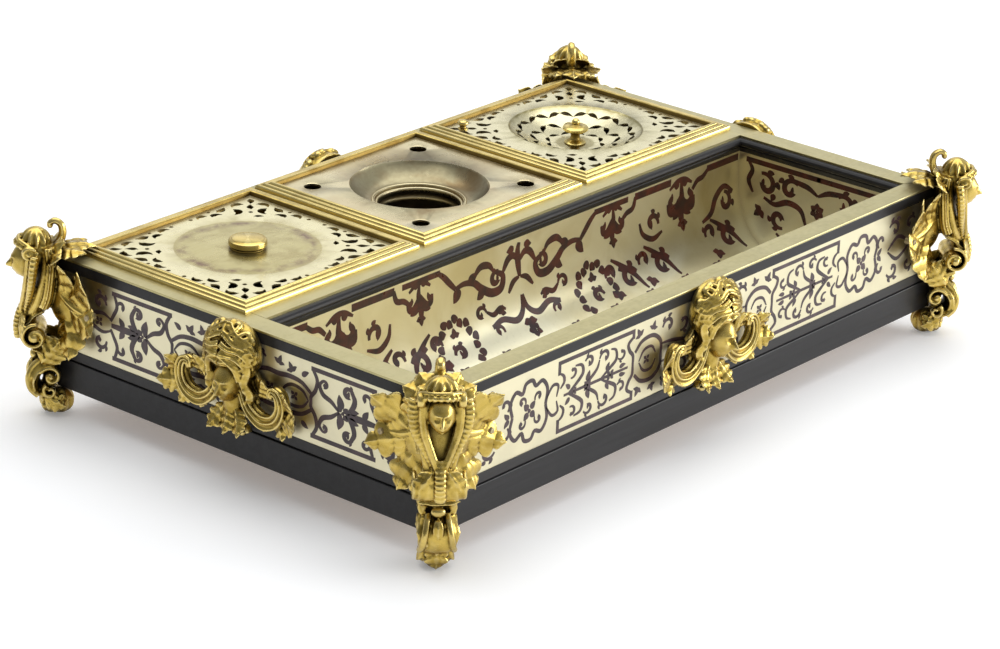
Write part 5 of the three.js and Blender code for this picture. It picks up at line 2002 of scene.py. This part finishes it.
@dataclass
class Studio:
    """A plain pale floor, soft lights and the camera."""

    eye: tuple[float, float, float] = (-1281.2, -1052.0, 699.4)
    heading: float = 50.47
    dip: float = 22.19
    roll: float = 2.05
    lens: float = 134.6
    floor_half: float = 4000.0

    def floor(self) -> None:
        """A broad flat floor."""
        made, sheet, shader = blank("pale_floor")
        tone = sheet.blend(sheet.noise(3.0, 3.0), (0.86, 0.86, 0.865), (0.9, 0.9, 0.9))
        sheet.feed(shader.inputs["Base Color"], tone)
        shader.inputs["Roughness"].default_value = 0.7
        shader.inputs["Emission Color"].default_value = (1.0, 1.0, 1.0, 1.0)
        shader.inputs["Emission Strength"].default_value = 0.2
        shader.inputs["Specular IOR Level"].default_value = 0.2
        h = self.floor_half
        clay = Clay()
        clay.add(np.array([(-h, -h, 0), (h, -h, 0), (h, h, 0), (-h, h, 0)]), [(0, 1, 2, 3)])
        floor = bpy.data.objects.new("floor", clay.mesh("floor"))
        floor.data.materials.append(made)
        bpy.context.scene.collection.objects.link(floor)

    def light(self, name: str, place: Sequence[float], target: Sequence[float], size: Sequence[float], power: float, tint: Colour = (1, 1, 1)) -> None:
        """A soft rectangular light.

        Args:
            name: its name.
            place: where it stands, in metres.
            target: what it faces, in metres.
            size: its width and height, in metres.
            power: its power, in watts.
            tint: its colour.
        """
        lamp = bpy.data.lights.new(name, "AREA")
        lamp.shape, lamp.size, lamp.size_y, lamp.energy, lamp.color = "RECTANGLE", size[0], size[1], power, tint
        holder = bpy.data.objects.new(name, lamp)
        holder.location = place
        holder.rotation_euler = (Vector(target) - Vector(place)).to_track_quat("-Z", "Y").to_euler()
        bpy.context.scene.collection.objects.link(holder)

    def camera(self) -> None:
        """The camera, at its place in front of the left corner."""
        a, b, r = (math.radians(v) for v in (self.heading, self.dip, self.roll))
        ahead = vec(math.sin(a) * math.cos(b), math.cos(a) * math.cos(b), -math.sin(b))
        flat = vec(math.cos(a), -math.sin(a), 0)
        rise = np.cross(flat, ahead)
        right = math.cos(r) * flat + math.sin(r) * rise
        up = math.cos(r) * rise - math.sin(r) * flat
        data = bpy.data.cameras.new("camera")
        data.lens, data.sensor_width, data.clip_end = self.lens, 36.0, 100.0
        holder = bpy.data.objects.new("camera", data)
        matrix = Matrix.Identity(4)
        for column, axis in enumerate((right, up, -ahead, np.array(self.eye) * MM)):
            for row in range(3):
                matrix[row][column] = axis[row]
        holder.matrix_world = matrix
        bpy.context.scene.collection.objects.link(holder)
        bpy.context.scene.camera = holder

    def build(self) -> None:
        """Set up the floor, the world, the lights and the camera."""
        self.floor()
        world = bpy.data.worlds.new("studio")
        world.use_nodes = True
        sky = world.node_tree.nodes["Background"]
        sky.inputs["Color"].default_value = (0.93, 0.96, 1.0, 1.0)
        sheet = Sheet(world.node_tree)
        way = sheet.add("ShaderNodeTexCoord").outputs["Generated"]
        across = sheet.add("ShaderNodeSeparateXYZ", {0: way}).outputs["X"]
        sheet.feed(sky.inputs["Strength"], sheet.spread(across, -1.0, 0.5, 0.2, 0.74))
        bpy.context.scene.world = world
        bpy.context.scene.view_settings.view_transform = "Standard"
        self.light("overhead", (0.2, 0.3, 1.9), (0, 0, 0.05), (2.6, 2.2), 30)
        self.light("low_back", (1.9, 1.7, 1.15), (0, 0, 0.05), (1.5, 0.8), 2.4)
        self.light("right_front", (1.6, -1.8, 0.5), (0, 0, 0.05), (1.7, 0.8), 32)
        self.camera()


def main() -> None:
    """Build the inkstand's pieces in order."""
    logging.basicConfig(level=logging.INFO, format="%(name)s %(message)s")
    Studio().build()
    finishes = Finishes()
    case, unit_sizes = CaseSizes(), UnitSizes()
    dress_case(finishes)
    Marquetry(case, finishes).build()
    PenTray(case, finishes).build()
    InkUnit("left", -1, unit_sizes, finishes, "ink_unit").build()
    QuillUnit("middle", 0, unit_sizes, finishes, "quill_unit").build()
    PounceUnit("right", 1, unit_sizes, finishes, "pounce_unit").build()
    CornerMount(case, finishes).build()
    SideMask(case, finishes).build()
    LOG.info("sizes written")


if __name__ == "__main__":
    main()
